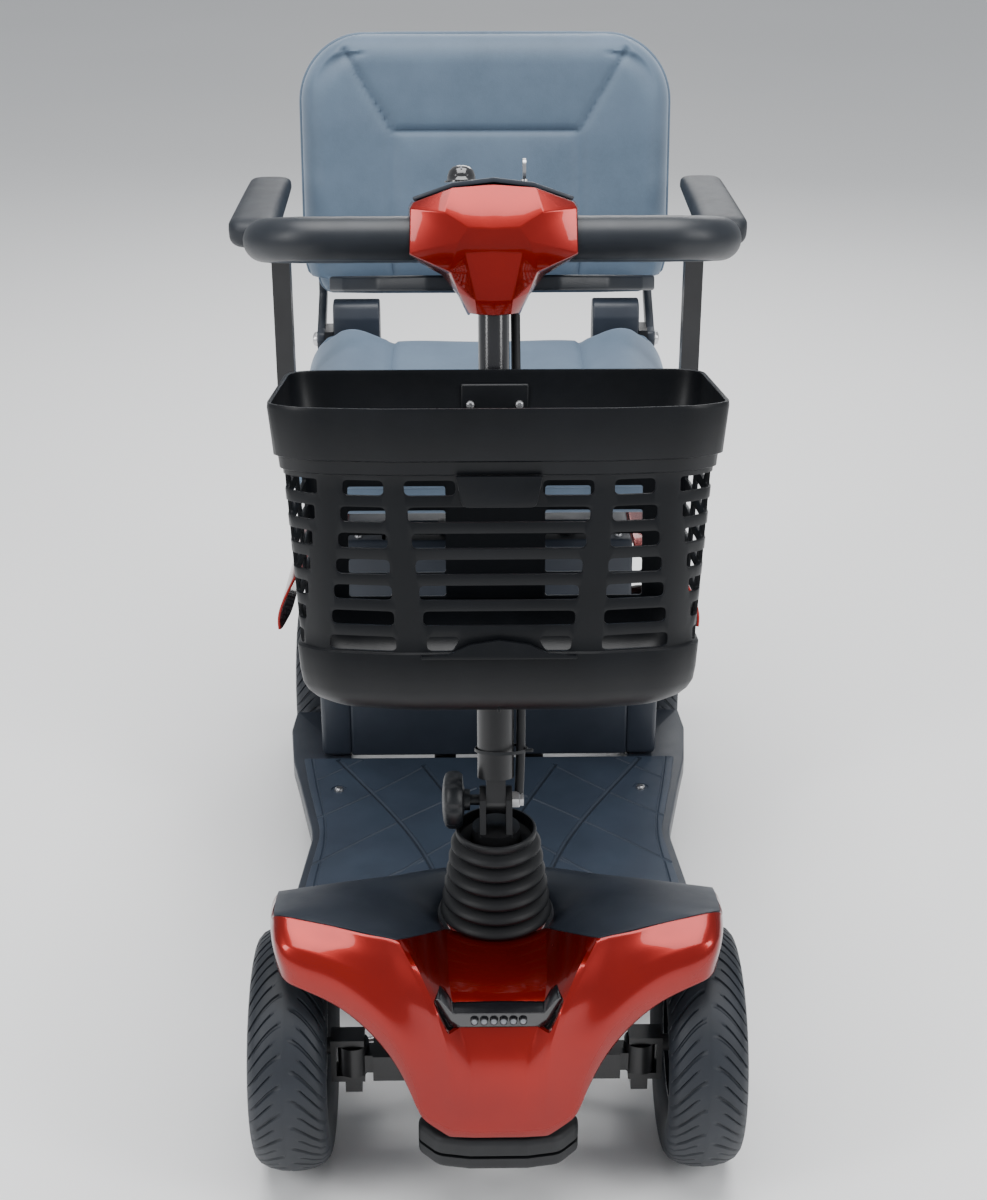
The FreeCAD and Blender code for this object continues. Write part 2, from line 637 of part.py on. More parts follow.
def basket():
    outer = Part.makeLoft([basket_ring(RIM_HALF, RIM_REAR, RIM_FRONT, 0, 30),
                           basket_ring(FLOOR_HALF, FLOOR_REAR, FLOOR_FRONT, BASKET_DEPTH, 26)],
                          True, True)
    inner = Part.makeLoft([basket_ring(RIM_HALF - 3, RIM_REAR + 3, RIM_FRONT - 3, -1, 29),
                           basket_ring(FLOOR_HALF - 3, FLOOR_REAR + 3, FLOOR_FRONT - 3,
                                       BASKET_DEPTH - 3, 25)], True, True)
    shell = outer.cut(inner)
    cutters = []
    for i, (down, tall) in enumerate(slot_rows()):
        z0, z1 = -down - tall / 2, -down + tall / 2
        cutters += both_cuts(80, 124, -130, -60, z0, z1)
        if i in (0, 6):
            cutters += both_cuts(34, 66, -130, -60, z0, z1)
        else:
            cutters.append(box(-64, 64, -130, -60, z0, z1))
        for y0, y1 in ((-62, -8), (8, 62)):
            cutters += both_cuts(140, 200, y0, y1, z0, z1)
        if i > 0:
            for x0, x1 in ((44, 84), (92, 130)):
                cutters += both_cuts(x0, x1, 70, 130, z0, z1)
    shell = shell.cut(Part.makeCompound(cutters))
    return Part.makeCompound([in_basket(shell)] + basket_socket())


def basket_socket():
    """A channel behind the rear wall that drops over the bracket's tongue, and its two screws."""
    back = box(-30, 30, -28.6, -25.6, 236, 305)
    side = box(22 + GAP, 30, -34.3, -28.5, 236, 305)
    front = box(-30, 30, -42, -34.3, 240, 305)
    channel = fuse(back, side, flipped(side), front)
    channel = channel.cut(box(-10 - GAP, 10 + GAP, -29, -20, 230, 310))
    return [on_tiller(channel)]


# ---------------------------------------------------------------- seat
def seat_post():
    tube = pipe(POST_R, POST_R - 3, (0, POST_Y, 300), (0, POST_Y, 500))
    collar = pipe(30, POST_R - 0.5, (0, POST_Y, 470), (0, POST_Y, 478))
    return fuse(tube, collar)


def seat_frame():
    hub = rod(32, (0, POST_Y, 478 + GAP), (0, POST_Y, SEAT_Z))
    pan = rounded(-160, 160, -20, 320, SEAT_Z, SEAT_Z + 5, 20, Z)
    arm_tube = box(-ARM_X - 10, ARM_X + 10, ARM_Y - 11, ARM_Y + 11, SEAT_Z - 20, SEAT_Z)
    post = box(ARM_X - 10, ARM_X + 10, ARM_Y - 11, ARM_Y + 11, SEAT_Z - 20, 756)
    ear = rod(11, (ARM_X - 10, ARM_Y, 756), (ARM_X + 10, ARM_Y, 756))
    strut = box(184, 194, 319, 355, SEAT_Z - 8, BACK_HINGE[1] + 14)
    cross = box(-194, 194, 300, 355, SEAT_Z - 8, SEAT_Z)
    side = [post, ear, strut]
    frame = fuse(hub, pan, arm_tube, cross, *side, *[flipped(s) for s in side])
    frame = frame.cut(rod(POST_R + RUN, (0, POST_Y, 470), (0, POST_Y, 501)))
    y, z = BACK_HINGE
    frame = frame.cut(rod(6 + RUN, (-200, y, z), (200, y, z)))
    frame = frame.cut(rod(4 + RUN, (-250, ARM_Y, 756), (250, ARM_Y, 756)))
    return frame.cut(rod(3 + RUN, (90, 236, 480), (90, 236, 520)))


def seat_cushion():
    solid = box(-CUSHION_HALF, CUSHION_HALF, -65, 318, SEAT_Z + 5, 605)
    return solid.makeFillet(26, [e for e in solid.Edges if e.BoundBox.ZMin > 512
                                 or e.BoundBox.ZLength > 50])


def swivel_lever():
    """A release lever under the seat pan that turns about a vertical pin."""
    pin = rod(3, (90, 236, 494), (90, 236, 509))
    bar = box(82, 214, 229, 243, 495, 501)
    grip = pillow(196, 232, 227, 245, 490, 503, 4)
    return fuse(pin, bar, grip)


def lean_back(shape):
    """Tip an upright backrest shape rearwards about its lower edge."""
    shape = shape.copy()
    shape.rotate(V(0, 330, 640), X, -8)
    return shape


def back_outline(half, low, high, corner):
    """Upright outline with large rounded upper corners, in the XZ plane at y = 0."""
    arc = []
    for i in range(7):
        angle = math.radians(90 * i / 6)
        arc.append((half - corner + corner * math.cos(angle),
                    high - corner + corner * math.sin(angle)))
    right = [(half - 18, low), (half - 4, low + 40)] + arc
    return right + [(-x, z) for x, z in reversed(right)]


def back_block(half, low, high, corner, y0, y1):
    face = Part.Face(wire([(x, y0, z) for x, z in back_outline(half, low, high, corner)]))
    return face.extrude(V(0, y1 - y0, 0))


def backrest_shell():
    panel = lean_back(back_block(BACK_HALF - 8, 642, 930, 74, 386, 396))
    y, z = BACK_HINGE
    arm = plate_x([(y - 14, z), (y - 10, z - 10), (y, z - 14), (y + 10, z - 10), (404, 616),
                   (412, 700), (398, 700), (387, 624), (y + 2, z + 13), (y - 10, z + 10)],
                  194 + GAP, 204)
    pin = rod(6, (184, y, z), (204, y, z))
    return fuse(panel, arm, flipped(arm), pin, flipped(pin))


def backrest_cushion():
    return lean_back(back_block(BACK_HALF, 637, 936, 78, 326, 385.6))


def hinge_covers():
    y, z = BACK_HINGE
    cover = rounded(128, 184 - GAP, y - 18, y + 20, SEAT_Z + GAP, 628, 12, X)
    return both_sides(cover)


def arm_pad(side):
    """A padded armrest with a steel tab at its post pivot."""
    pad = pillow(side * 250 - 28, side * 250 + 28, 99, 343, 768.5, 790, 7)
    pad.translate(V(0, 0, -12))
    tab = box(side * (ARM_X + 14) - 3.5, side * (ARM_X + 14) + 3.5, ARM_Y - 11, ARM_Y + 11, 742, 760)
    pin = rod(4, (side * (ARM_X - 10), ARM_Y, 756), (side * (ARM_X + 14), ARM_Y, 756))
    slot = box(side * ARM_X - 10.6, side * ARM_X + 10.6, ARM_Y - 14, 346, 740, 768.6)
    return fuse(pad.cut(slot), tab, pin)


# ---------------------------------------------------------------- write every piece
NODES = {
    "main_frame": main_frame, "footboard": footboard, "floor_mat": floor_mat,
    "front_shroud": front_shroud, "front_top_panel": front_top_panel, "headlight": headlight,
    "front_bumper": front_bumper, "steering_boot": steering_boot, "rear_frame": rear_frame,
    "rear_cover": rear_cover, "rear_side_panels": rear_side_panels, "rear_bumper": rear_bumper,
    "tail_lights": tail_lights, "drive_unit": drive_unit, "controller": controller,
    "chassis_fasteners": chassis_fasteners, "battery_case": battery_case,
    "battery_cells": battery_cells, "battery_handle": battery_handle,
    "steering_stem": steering_stem, "tiller_lower_tube": tiller_lower_tube,
    "tiller_upper_tube": tiller_upper_tube, "head_front_shell": head_front_shell,
    "head_rear_shell": head_rear_shell, "handlebar_tube": handlebar_tube,
    "handlebar_foam": handlebar_foam, "tiller_cable": tiller_cable,
    "basket_bracket": basket_bracket, "tilt_knob": tilt_knob,
    "throttle_paddles": throttle_paddles, "speed_dial": speed_dial, "key": key,
    "horn_button": horn_button, "basket": basket, "seat_post": seat_post,
    "seat_frame": seat_frame, "seat_cushion": seat_cushion, "swivel_lever": swivel_lever,
    "backrest_shell": backrest_shell, "backrest_cushion": backrest_cushion,
    "hinge_covers": hinge_covers, "freewheel_lever": freewheel_lever,
}
for node, maker in NODES.items():
    save(node, maker())

for word, side in (("left", 1), ("right", -1)):
    save(f"knuckle_{word}", knuckle(side))
    save(f"tie_rod_{word}", tie_rod(side))
    save(f"front_tyre_{word}", tyre(side * FRONT_WHEEL_X, FRONT_AXLE_Y))
    save(f"front_rim_{word}", rim(side * FRONT_WHEEL_X, FRONT_AXLE_Y, 8 + RUN, side))
    save(f"rear_tyre_{word}", tyre(side * REAR_WHEEL_X, REAR_AXLE_Y))
    save(f"rear_rim_{word}", rim(side * REAR_WHEEL_X, REAR_AXLE_Y, 8.5 + 0.01, side))
    save(f"rear_axle_{word}", axle_shaft(side))
    save(f"anti_tip_roller_{word}", roller(side))
    save(f"arm_pad_{word}", arm_pad(side))
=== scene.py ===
import json
import math

import bmesh
import bpy
from mathutils import Matrix, Vector


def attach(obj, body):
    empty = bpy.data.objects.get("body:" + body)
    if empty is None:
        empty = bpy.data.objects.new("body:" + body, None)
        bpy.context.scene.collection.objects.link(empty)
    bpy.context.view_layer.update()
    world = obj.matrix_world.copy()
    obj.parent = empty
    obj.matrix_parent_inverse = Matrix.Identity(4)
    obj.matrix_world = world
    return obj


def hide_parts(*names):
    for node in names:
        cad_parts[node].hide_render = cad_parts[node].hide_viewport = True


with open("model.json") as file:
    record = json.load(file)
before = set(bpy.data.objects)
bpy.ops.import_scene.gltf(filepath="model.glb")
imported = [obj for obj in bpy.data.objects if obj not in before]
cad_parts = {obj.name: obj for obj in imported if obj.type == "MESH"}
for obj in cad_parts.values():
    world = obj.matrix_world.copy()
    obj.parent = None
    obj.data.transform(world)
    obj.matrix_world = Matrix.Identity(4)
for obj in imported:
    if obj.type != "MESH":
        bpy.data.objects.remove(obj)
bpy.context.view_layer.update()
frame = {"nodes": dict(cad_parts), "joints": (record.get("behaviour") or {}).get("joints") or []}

NODES = frame["nodes"]
MM = 0.001                              # lengths are in metres, and mm() takes millimetres
SKIN, SKIN_EDGE = 0.003, 0.0009         # wall and edge rounding of the moulded body panels
LOOP_Z = 0.512                          # the handlebar loop, up the tiller from its pivot

# ---- places, from the frame
JOINTS = {joint["name"]: joint for joint in frame["joints"]}


def pivot(joint):
    return Vector(JOINTS[joint]["pos_m"])


TILT = pivot("tiller_tilt")
TILLER_UP = Vector(JOINTS["throttle"]["axis"])
LEAN = math.atan2(TILLER_UP.y, TILLER_UP.z)
TILLER = Matrix.Translation(TILT) @ Matrix.Rotation(-LEAN, 4, "X")
STEER = pivot("steer")
HINGE = pivot("backrest_fold")
POST = pivot("seat_swivel")
SIDES = (("left", 1), ("right", -1))


# ---- mesh helpers
def linked(name, data):
    """A new object for a mesh, curve, lamp or camera, linked to the scene."""
    obj = bpy.data.objects.new(name, data)
    bpy.context.scene.collection.objects.link(obj)
    return obj


def evaluated(obj):
    """The object's mesh with its modifiers applied."""
    bpy.context.view_layer.update()
    graph = bpy.context.evaluated_depsgraph_get()
    return bpy.data.meshes.new_from_object(obj.evaluated_get(graph))


def baked(name, work):
    """An object from a bmesh, which is freed."""
    mesh = bpy.data.meshes.new(name)
    work.to_mesh(mesh)
    work.free()
    return linked(name, mesh)


def new_mesh(name, verts, faces):
    mesh = bpy.data.meshes.new(name)
    mesh.from_pydata([tuple(v) for v in verts], [], faces)
    mesh.validate()
    mesh.update()
    return linked(name, mesh)


def join_meshes(name, parts):
    """One object from several, with their modifiers applied."""
    combined = bmesh.new()
    for part in parts:
        apply_modifiers(part)
        combined.from_mesh(part.data)
        bpy.data.objects.remove(part)
    return baked(name, combined)


def apply_modifiers(obj):
    mesh = evaluated(obj)
    obj.modifiers.clear()
    old, obj.data = obj.data, mesh
    bpy.data.meshes.remove(old)
    return obj


def subdivide(obj, levels):
    mod = obj.modifiers.new("subdivide", "SUBSURF")
    mod.levels = mod.render_levels = levels
    return apply_modifiers(obj)


def solidify(obj, thickness, offset=-1.0):
    mod = obj.modifiers.new("solidify", "SOLIDIFY")
    mod.thickness, mod.offset = thickness, offset
    return apply_modifiers(obj)


def bevel(obj, width, segments=2, angle=35):
    mod = obj.modifiers.new("bevel", "BEVEL")
    mod.width, mod.segments = width, segments
    mod.limit_method, mod.angle_limit = "ANGLE", math.radians(angle)
    mod.harden_normals = False
    return apply_modifiers(obj)


def cut(obj, cutter):
    mod = obj.modifiers.new("cut", "BOOLEAN")
    mod.operation, mod.object, mod.solver = "DIFFERENCE", cutter, "EXACT"
    apply_modifiers(obj)
    bpy.data.objects.remove(cutter)
    return obj


def shade(obj, angle=40):
    mesh = obj.data
    mesh.polygons.foreach_set("use_smooth", [True] * len(mesh.polygons))
    mesh.set_sharp_from_angle(angle=math.radians(angle))
    return obj


def grid_mesh(name, grid, close_rows=False, close_columns=False, skip=()):
    """A quad mesh over rows of points; skip holds (row, column) cells that stay open."""
    rows, columns = len(grid), len(grid[0])
    verts = [p for row in grid for p in row]
    faces = []
    for i in range(rows - (0 if close_rows else 1)):
        for j in range(columns - (0 if close_columns else 1)):
            if (i, j) in skip:
                continue
            k, m = (i + 1) % rows, (j + 1) % columns
            faces.append((i * columns + j, i * columns + m, k * columns + m, k * columns + j))
    return new_mesh(name, verts, faces)


def turned(name, profile, segments=64, at=None):
    """Turn (radius, height) points about Z, then place the result."""
    grid = []
    for i in range(segments):
        a = 2 * math.pi * i / segments
        grid.append([(r * math.cos(a), r * math.sin(a), h) for r, h in profile])
    obj = grid_mesh(name, grid, close_rows=True)
    tidy(obj)
    if at is not None:
        obj.data.transform(at)
    return obj


def rod(name, radius, low, high, segments=24, at=None):
    return turned(name, [(0, low), (radius, low), (radius, high), (0, high)], segments, at)


def along_x(place, side=1):
    """A place whose own Z axis points to +X, or to -X with side = -1."""
    return Matrix.Translation(place) @ Matrix.Rotation(math.radians(90 * side), 4, "Y")


def tidy(obj, distance=1e-6):
    work = bmesh.new()
    work.from_mesh(obj.data)
    bmesh.ops.remove_doubles(work, verts=work.verts, dist=distance)
    bmesh.ops.recalc_face_normals(work, faces=work.faces)
    work.to_mesh(obj.data)
    work.free()
    return obj


def block(name, low, high, edge=0.0, segments=3):
    """A box with rounded edges."""
    work = bmesh.new()
    bmesh.ops.create_cube(work, size=1.0)
    low, high = Vector(low), Vector(high)
    for v in work.verts:
        v.co = Vector(((v.co[i] + 0.5) * (high[i] - low[i]) + low[i] for i in range(3)))
    obj = baked(name, work)
    return bevel(obj, edge, segments) if edge else obj


def prism(name, outline, low, high, edge=0.0, segments=2):
    """Extrude an (x, y) outline from z = low to z = high, with rounded edges."""
    count = len(outline)
    verts = [(x, y, low) for x, y in outline] + [(x, y, high) for x, y in outline]
    faces = [tuple(reversed(range(count))), tuple(range(count, 2 * count))]
    faces += [(i, (i + 1) % count, count + (i + 1) % count, count + i) for i in range(count)]
    obj = tidy(new_mesh(name, verts, faces))
    return bevel(obj, edge, segments) if edge else obj


def swept(name, points, radius, closed=False, order=4, resolution=12):
    """A round tube along a smooth line through control points."""
    curve = bpy.data.curves.new(name, "CURVE")
    curve.dimensions = "3D"
    spline = curve.splines.new("NURBS")
    spline.points.add(len(points) - 1)
    for target, p in zip(spline.points, points):
        target.co = (*p, 1.0)
    spline.order_u = min(order, len(points))
    spline.use_endpoint_u = not closed
    spline.use_cyclic_u = closed
    spline.resolution_u = resolution
    curve.bevel_depth = radius
    curve.bevel_resolution = 6
    curve.use_fill_caps = not closed
    line = linked(name, curve)
    mesh = evaluated(line)
    bpy.data.objects.remove(line)
    return linked(name, mesh)


def piece(obj, body, slot, replaces=(), angle=40, finish=None):
    """Attach the piece to its body, give it the finish of its record slot and hide the CAD nodes
    that it stands for.

    The slot gives the finish, unless another one is named.
    """
    shade(obj, angle)
    obj.data.materials.clear()
    obj.data.materials.append(FINISHES[finish or slot])
    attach(obj, body)
    if replaces:
        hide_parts(*replaces)
    return obj


# ---- materials
class Finish:
    """A procedural material: one Principled shader fed by textures in object space."""

    def __init__(self, name, roughness, metallic=0.0, **sockets):
        self.material = bpy.data.materials.new(name)
        self.material.use_nodes = True
        self.tree = self.material.node_tree
        self.shader = self.tree.nodes["Principled BSDF"]
        self.shader.inputs["Roughness"].default_value = roughness
        self.shader.inputs["Metallic"].default_value = metallic
        for socket, value in sockets.items():
            self.shader.inputs[socket.replace("_", " ")].default_value = value
        self.place = self.tree.nodes.new("ShaderNodeTexCoord").outputs["Object"]
        self.normal = None

    def node(self, kind, source=None, socket="Vector", **inputs):
        """Add a node, set its named inputs and link source to one of its sockets."""
        node = self.tree.nodes.new("ShaderNode" + kind)
        for name, value in inputs.items():
            node.inputs[name.replace("_", " ")].default_value = value
        if source is not None:
            self.tree.links.new(source, node.inputs[socket])
        return node

    def noise(self, scale, detail=3.0, roughness=0.55):
        return self.node("TexNoise", self.place, Scale=scale, Detail=detail,
                         Roughness=roughness).outputs["Fac"]

    def cells(self, scale):
        return self.node("TexVoronoi", self.place, Scale=scale).outputs["Distance"]

    def ramp(self, source, stops):
        node = self.node("ValToRGB", source, "Fac")
        for element, (position, colour) in zip(node.color_ramp.elements, stops):
            element.position = position
            element.color = (*colour, 1.0)
        return node.outputs["Color"]

    def mix(self, factor, first, second):
        """Blend from the socket first to the plain colour second."""
        node = self.node("Mix")
        node.data_type = "RGBA"
        self.tree.links.new(factor, node.inputs[0])
        self.tree.links.new(first, node.inputs[6])
        node.inputs[7].default_value = (*second, 1.0)
        return node.outputs[2]

    def colour(self, source):
        self.tree.links.new(source, self.shader.inputs["Base Color"])

    def rough(self, source, low, high):
        node = self.node("MapRange", source, "Value", To_Min=low, To_Max=high)
        self.tree.links.new(node.outputs["Result"], self.shader.inputs["Roughness"])

    def bump(self, source, strength, distance):
        node = self.node("Bump", source, "Height", Strength=strength, Distance=distance)
        if self.normal is not None:
            self.tree.links.new(self.normal, node.inputs["Normal"])
        self.normal = node.outputs["Normal"]
        self.tree.links.new(self.normal, self.shader.inputs["Normal"])


def grained(name, dark, light, roughness, grain=900.0, depth=0.00012, **sockets):
    """Moulded plastic or rubber with a fine skin and faint colour drift."""
    f = Finish(name, roughness, **sockets)
    drift = f.noise(14.0, 4.0)
    f.colour(f.ramp(drift, [(0.3, dark), (0.72, light)]))
    f.rough(f.noise(60.0, 3.0), roughness - 0.06, roughness + 0.08)
    f.bump(f.cells(grain), 0.35, depth)
    f.bump(f.noise(40.0, 2.0), 0.08, 0.0006)
    return f.material


def candy_red(name):
    f = Finish(name, 0.24, 0.60, Coat_Weight=0.55, Coat_Roughness=0.03, Coat_IOR=1.42)
    weight = f.node("LayerWeight", Blend=0.45)
    drift = f.noise(9.0, 3.0)
    face = f.ramp(drift, [(0.3, (0.27, 0.003, 0.0)), (0.75, (0.36, 0.006, 0.0))])
    f.colour(f.mix(weight.outputs["Facing"], face, (0.08, 0.0, 0.0)))
    f.bump(f.cells(2600.0), 0.06, 0.0001)
    f.rough(f.noise(35.0, 2.0), 0.20, 0.30)
    return f.material


def painted(name, colour, roughness, coat=0.3):
    f = Finish(name, roughness, 0.0, Coat_Weight=coat, Coat_Roughness=0.2)
    light = tuple(min(1.0, c * 1.5 + 0.004) for c in colour)
    f.colour(f.ramp(f.noise(20.0, 4.0), [(0.3, colour), (0.75, light)]))
    f.bump(f.noise(420.0, 2.0), 0.12, 0.0003)
    f.rough(f.noise(90.0), roughness - 0.05, roughness + 0.08)
    return f.material


def metal(name, colour, roughness):
    f = Finish(name, roughness, 1.0)
    dark = tuple(c * 0.82 for c in colour)
    f.colour(f.ramp(f.noise(30.0, 4.0), [(0.3, dark), (0.7, colour)]))
    f.bump(f.noise(500.0, 2.0), 0.08, 0.0002)
    f.rough(f.noise(120.0, 3.0), roughness - 0.06, roughness + 0.1)
    return f.material


def leatherette(name):
    """Soft blue-grey upholstery: mottled nap over a fine pebble grain."""
    f = Finish(name, 0.62, Sheen_Weight=0.35, Sheen_Roughness=0.45)
    f.shader.inputs["Sheen Tint"].default_value = (0.75, 0.85, 1.0, 1.0)
    cloud = f.noise(7.0, 6.0, 0.62)
    fleck = f.noise(240.0, 3.0, 0.7)
    base = f.ramp(cloud, [(0.28, (0.058, 0.088, 0.128)), (0.72, (0.105, 0.155, 0.218))])
    f.colour(f.mix(f.ramp(fleck, [(0.35, (0, 0, 0)), (0.75, (0.5, 0.5, 0.5))]), base,
                   (0.085, 0.13, 0.19)))
    f.rough(cloud, 0.5, 0.72)
    f.bump(f.cells(700.0), 0.3, 0.0003)
    f.bump(f.noise(60.0, 4.0), 0.12, 0.0012)
    return f.material


# Finishes by record slot, and the few that only single pieces or CAD nodes use.
FINISHES = {
    "red_shell": candy_red("candy_red"),
    "dark_panel": grained("panel_grain", (0.015, 0.020, 0.030), (0.024, 0.031, 0.044), 0.42),
    "floor_mat": grained("mat_rubber", (0.022, 0.032, 0.050), (0.032, 0.046, 0.070), 0.5, 1200.0),
    "black_rubber": grained("black_rubber", (0.003, 0.0035, 0.005), (0.007, 0.008, 0.010), 0.55,
                            1100.0),
    "basket": grained("basket_plastic", (0.0022, 0.0028, 0.0040), (0.0045, 0.0055, 0.0075), 0.38,
                      1500.0, Specular_IOR_Level=0.28),
    "black_plastic": grained("black_plastic", (0.003, 0.004, 0.006), (0.007, 0.009, 0.012), 0.42),
    "foam": grained("foam_grip", (0.008, 0.011, 0.016), (0.014, 0.018, 0.025), 0.42, 1500.0),
    "tyre": grained("tyre_rubber", (0.008, 0.011, 0.016), (0.015, 0.019, 0.027), 0.55, 800.0),
    "paddle": grained("paddle_plastic", (0.008, 0.011, 0.017), (0.015, 0.020, 0.029), 0.36),
    "arm_skin": grained("arm_skin", (0.006, 0.009, 0.014), (0.012, 0.016, 0.023), 0.5, 1000.0,
                        0.0003),
    "frame_steel": painted("satin_black", (0.005, 0.005, 0.006), 0.42),
    "gloss": painted("gloss_black", (0.006, 0.006, 0.008), 0.16, 0.9),
    "control_black": painted("control_black", (0.004, 0.004, 0.005), 0.08, 1.0),
    "lever_yellow": painted("lever_yellow", (0.55, 0.30, 0.01), 0.35),
    "horn_button": painted("button_red", (0.45, 0.02, 0.012), 0.28, 0.8),
    "bare_steel": metal("zinc_steel", (0.62, 0.62, 0.63), 0.32),
    "cast": metal("cast_aluminium", (0.42, 0.42, 0.44), 0.5),
    "rim": painted("rim_silver", (0.26, 0.27, 0.29), 0.26, 0.6),
    "tail_lens": painted("tail_lens", (0.22, 0.002, 0.002), 0.12, 1.0),
    "cells": grained("cell_case", (0.03, 0.03, 0.03), (0.05, 0.05, 0.05), 0.5),
    "upholstery": leatherette("upholstery"),
    "headlight": painted("lamp_smoke", (0.006, 0.006, 0.008), 0.09, 1.0),
    "led": painted("led_clear", (0.16, 0.17, 0.19), 0.1, 1.0),
}

# The CAD nodes that no visual piece replaces.
CAD_FINISH = {
    "frame_steel": ["main_frame", "rear_frame", "steering_stem", "knuckle_left", "knuckle_right",
              "seat_frame", "basket_bracket", "tiller_lower_tube"],
    "gloss": ["tiller_upper_tube", "seat_post"],
    "bare_steel": ["tie_rod_left", "tie_rod_right", "chassis_fasteners", "rear_axle_left",
              "rear_axle_right", "handlebar_tube", "key"],
    "black_plastic": ["controller"],
    "cast": ["drive_unit"],
    "cells": ["battery_cells"],
}


def dress_cad():
    for finish, names in CAD_FINISH.items():
        for name in names:
            obj = NODES[name]
            obj.data.materials.clear()
            obj.data.materials.append(FINISHES[finish])


# ---- camera, light and floor
CAMERA_PLACE, CAMERA_PITCH, CAMERA_YAW = (-0.026, -1.889, 1.272), 90 - 25.1, -0.9
FOCAL_LENGTH, SENSOR = 57.1, 36.0


def camera():
    data = bpy.data.cameras.new("camera")
    data.lens, data.sensor_width = FOCAL_LENGTH, SENSOR
    obj = linked("camera", data)
    obj.location = CAMERA_PLACE
    obj.rotation_euler = (math.radians(CAMERA_PITCH), 0, math.radians(CAMERA_YAW))
    data.clip_end = 50
    bpy.context.scene.camera = obj


def area_light(name, place, target, size, power):
    data = bpy.data.lights.new(name, "AREA")
    data.shape, data.size, data.size_y = "RECTANGLE", size[0], size[1]
    data.energy = power
    obj = linked(name, data)
    obj.location = place
    obj.rotation_euler = (Vector(target) - Vector(place)).to_track_quat("-Z", "Y").to_euler()


def studio():
    floor = new_mesh("floor", [(-12, -12, 0), (12, -12, 0), (12, 12, 0), (-12, 12, 0)],
                     [(0, 1, 2, 3)])
    f = Finish("floor_paper", 0.8)
    f.colour(f.ramp(f.noise(0.6, 2.0), [(0.3, (0.90, 0.90, 0.90)), (0.7, (0.93, 0.93, 0.93))]))
    f.bump(f.noise(300.0), 0.03, 0.0002)
    floor.data.materials.append(f.material)
    floor.location.z = -0.0005
    world = bpy.data.worlds.new("world")
    world.use_nodes = True
    background = world.node_tree.nodes["Background"]
    background.inputs["Color"].default_value = (0.93, 0.96, 1.0, 1.0)
    background.inputs["Strength"].default_value = 0.50
    bpy.context.scene.world = world
    area_light("overhead", (0.0, -0.3, 3.2), (0, 0, 0.3), (2.6, 2.2), 125)
    area_light("left", (-2.3, -1.7, 1.9), (0, -0.2, 0.45), (0.7, 1.6), 34)
    area_light("right", (2.3, -1.7, 1.9), (0, -0.2, 0.45), (0.7, 1.6), 34)
    area_light("back", (0.4, 2.6, 2.0), (0, 0.3, 0.5), (1.8, 1.0), 30)


# ---- shared outlines
def filleted(points, radius, steps=5):
    """A closed (u, v) outline with each corner rounded; radius is one value or one per corner."""
    out = []
    count = len(points)
    for i, p in enumerate(points):
        r = radius[i] if isinstance(radius, (list, tuple)) else radius
        p = Vector(p)
        a, b = Vector(points[i - 1]) - p, Vector(points[(i + 1) % count]) - p
        if r <= 0:
            out.append(tuple(p))
            continue
        turn = a.angle(b)
        reach = min(r / math.tan(turn / 2), a.length * 0.49, b.length * 0.49)
        start, end = p + a.normalized() * reach, p + b.normalized() * reach
        for k in range(steps + 1):
            t = k / steps
            out.append(tuple(start * (1 - t) ** 2 + p * 2 * t * (1 - t) + end * t * t))
    return out


def both_sides(right):
    """The right half of an outline followed by its mirror image."""
    return right + [(-x, y) for x, y in reversed(right)]


def rounded(u0, u1, v0, v1, radius, steps=5):
    return filleted([(u0, v0), (u1, v0), (u1, v1), (u0, v1)], radius, steps)


def mm(*points):
    """Points given in mm, as metres."""
    return [tuple(v * MM for v in p) for p in points]


def resampled(points, count, closed=False):
    """Evenly spaced points along a line of 2D or 3D points."""
    line = [Vector(p) for p in points] + ([Vector(points[0])] if closed else [])
    lengths = [0.0]
    for a, b in zip(line, line[1:]):
        lengths.append(lengths[-1] + (b - a).length)
    out = []
    steps = count if closed else count - 1
    k = 0
    for i in range(count):
        want = lengths[-1] * i / steps
        while k < len(line) - 2 and lengths[k + 1] < want:
            k += 1
        span = lengths[k + 1] - lengths[k]
        out.append(tuple(line[k].lerp(line[k + 1], (want - lengths[k]) / span if span else 0.0)))
    return out


def mirrored(obj, name):
    """A copy of obj mirrored in the X = 0 plane."""
    other = linked(name, obj.data.copy())
    other.data.transform(Matrix.Scale(-1, 4, (1, 0, 0)))
    other.data.flip_normals()
    return other


def plate_y(name, outline, near, far, edge=0.0, segments=2):
    """Extrude an (x, z) outline from y = near to y = far."""
    obj = prism(name, [(x, z) for x, z in outline], -far, -near, edge, segments)
    obj.data.transform(Matrix.Rotation(math.radians(90), 4, "X"))
    return obj


def plate_x(name, outline, near, far, edge=0.0, segments=2):
    """Extrude a (y, z) outline from x = near to x = far."""
    obj = prism(name, outline, near, far, edge, segments)
    obj.data.transform(Matrix(((0, 0, 1, 0), (1, 0, 0, 0), (0, 1, 0, 0), (0, 0, 0, 1))))
    return obj


def screw(name, place, direction, radius=0.004, hex_size=0.5):
    """A pan-head screw with a hexagon recess."""
    head = turned(name, [(0, 0.6 * radius), (hex_size * radius, 0.6 * radius),
                         (hex_size * radius, 0.2 * radius), (0, 0.2 * radius)], 6)
    cap = turned(name + "_cap", [(hex_size * radius, 0.6 * radius), (0.85 * radius, 0.45 * radius),
                                 (radius, 0.1 * radius), (radius, -0.5 * radius)], 24)
    both = join_meshes(name, [head, cap])
    turn = Vector(direction).to_track_quat("Z", "Y").to_matrix().to_4x4()
    both.data.transform(Matrix.Translation(place) @ turn)
    return both


def screws(name, body, places, direction, radius, at=None):
    """Several screws as one piece."""
    heads = join_meshes(name, [screw(name, place, direction, radius) for place in places])
    if at is not None:
        heads.data.transform(at)
    piece(heads, body, "bare_steel")


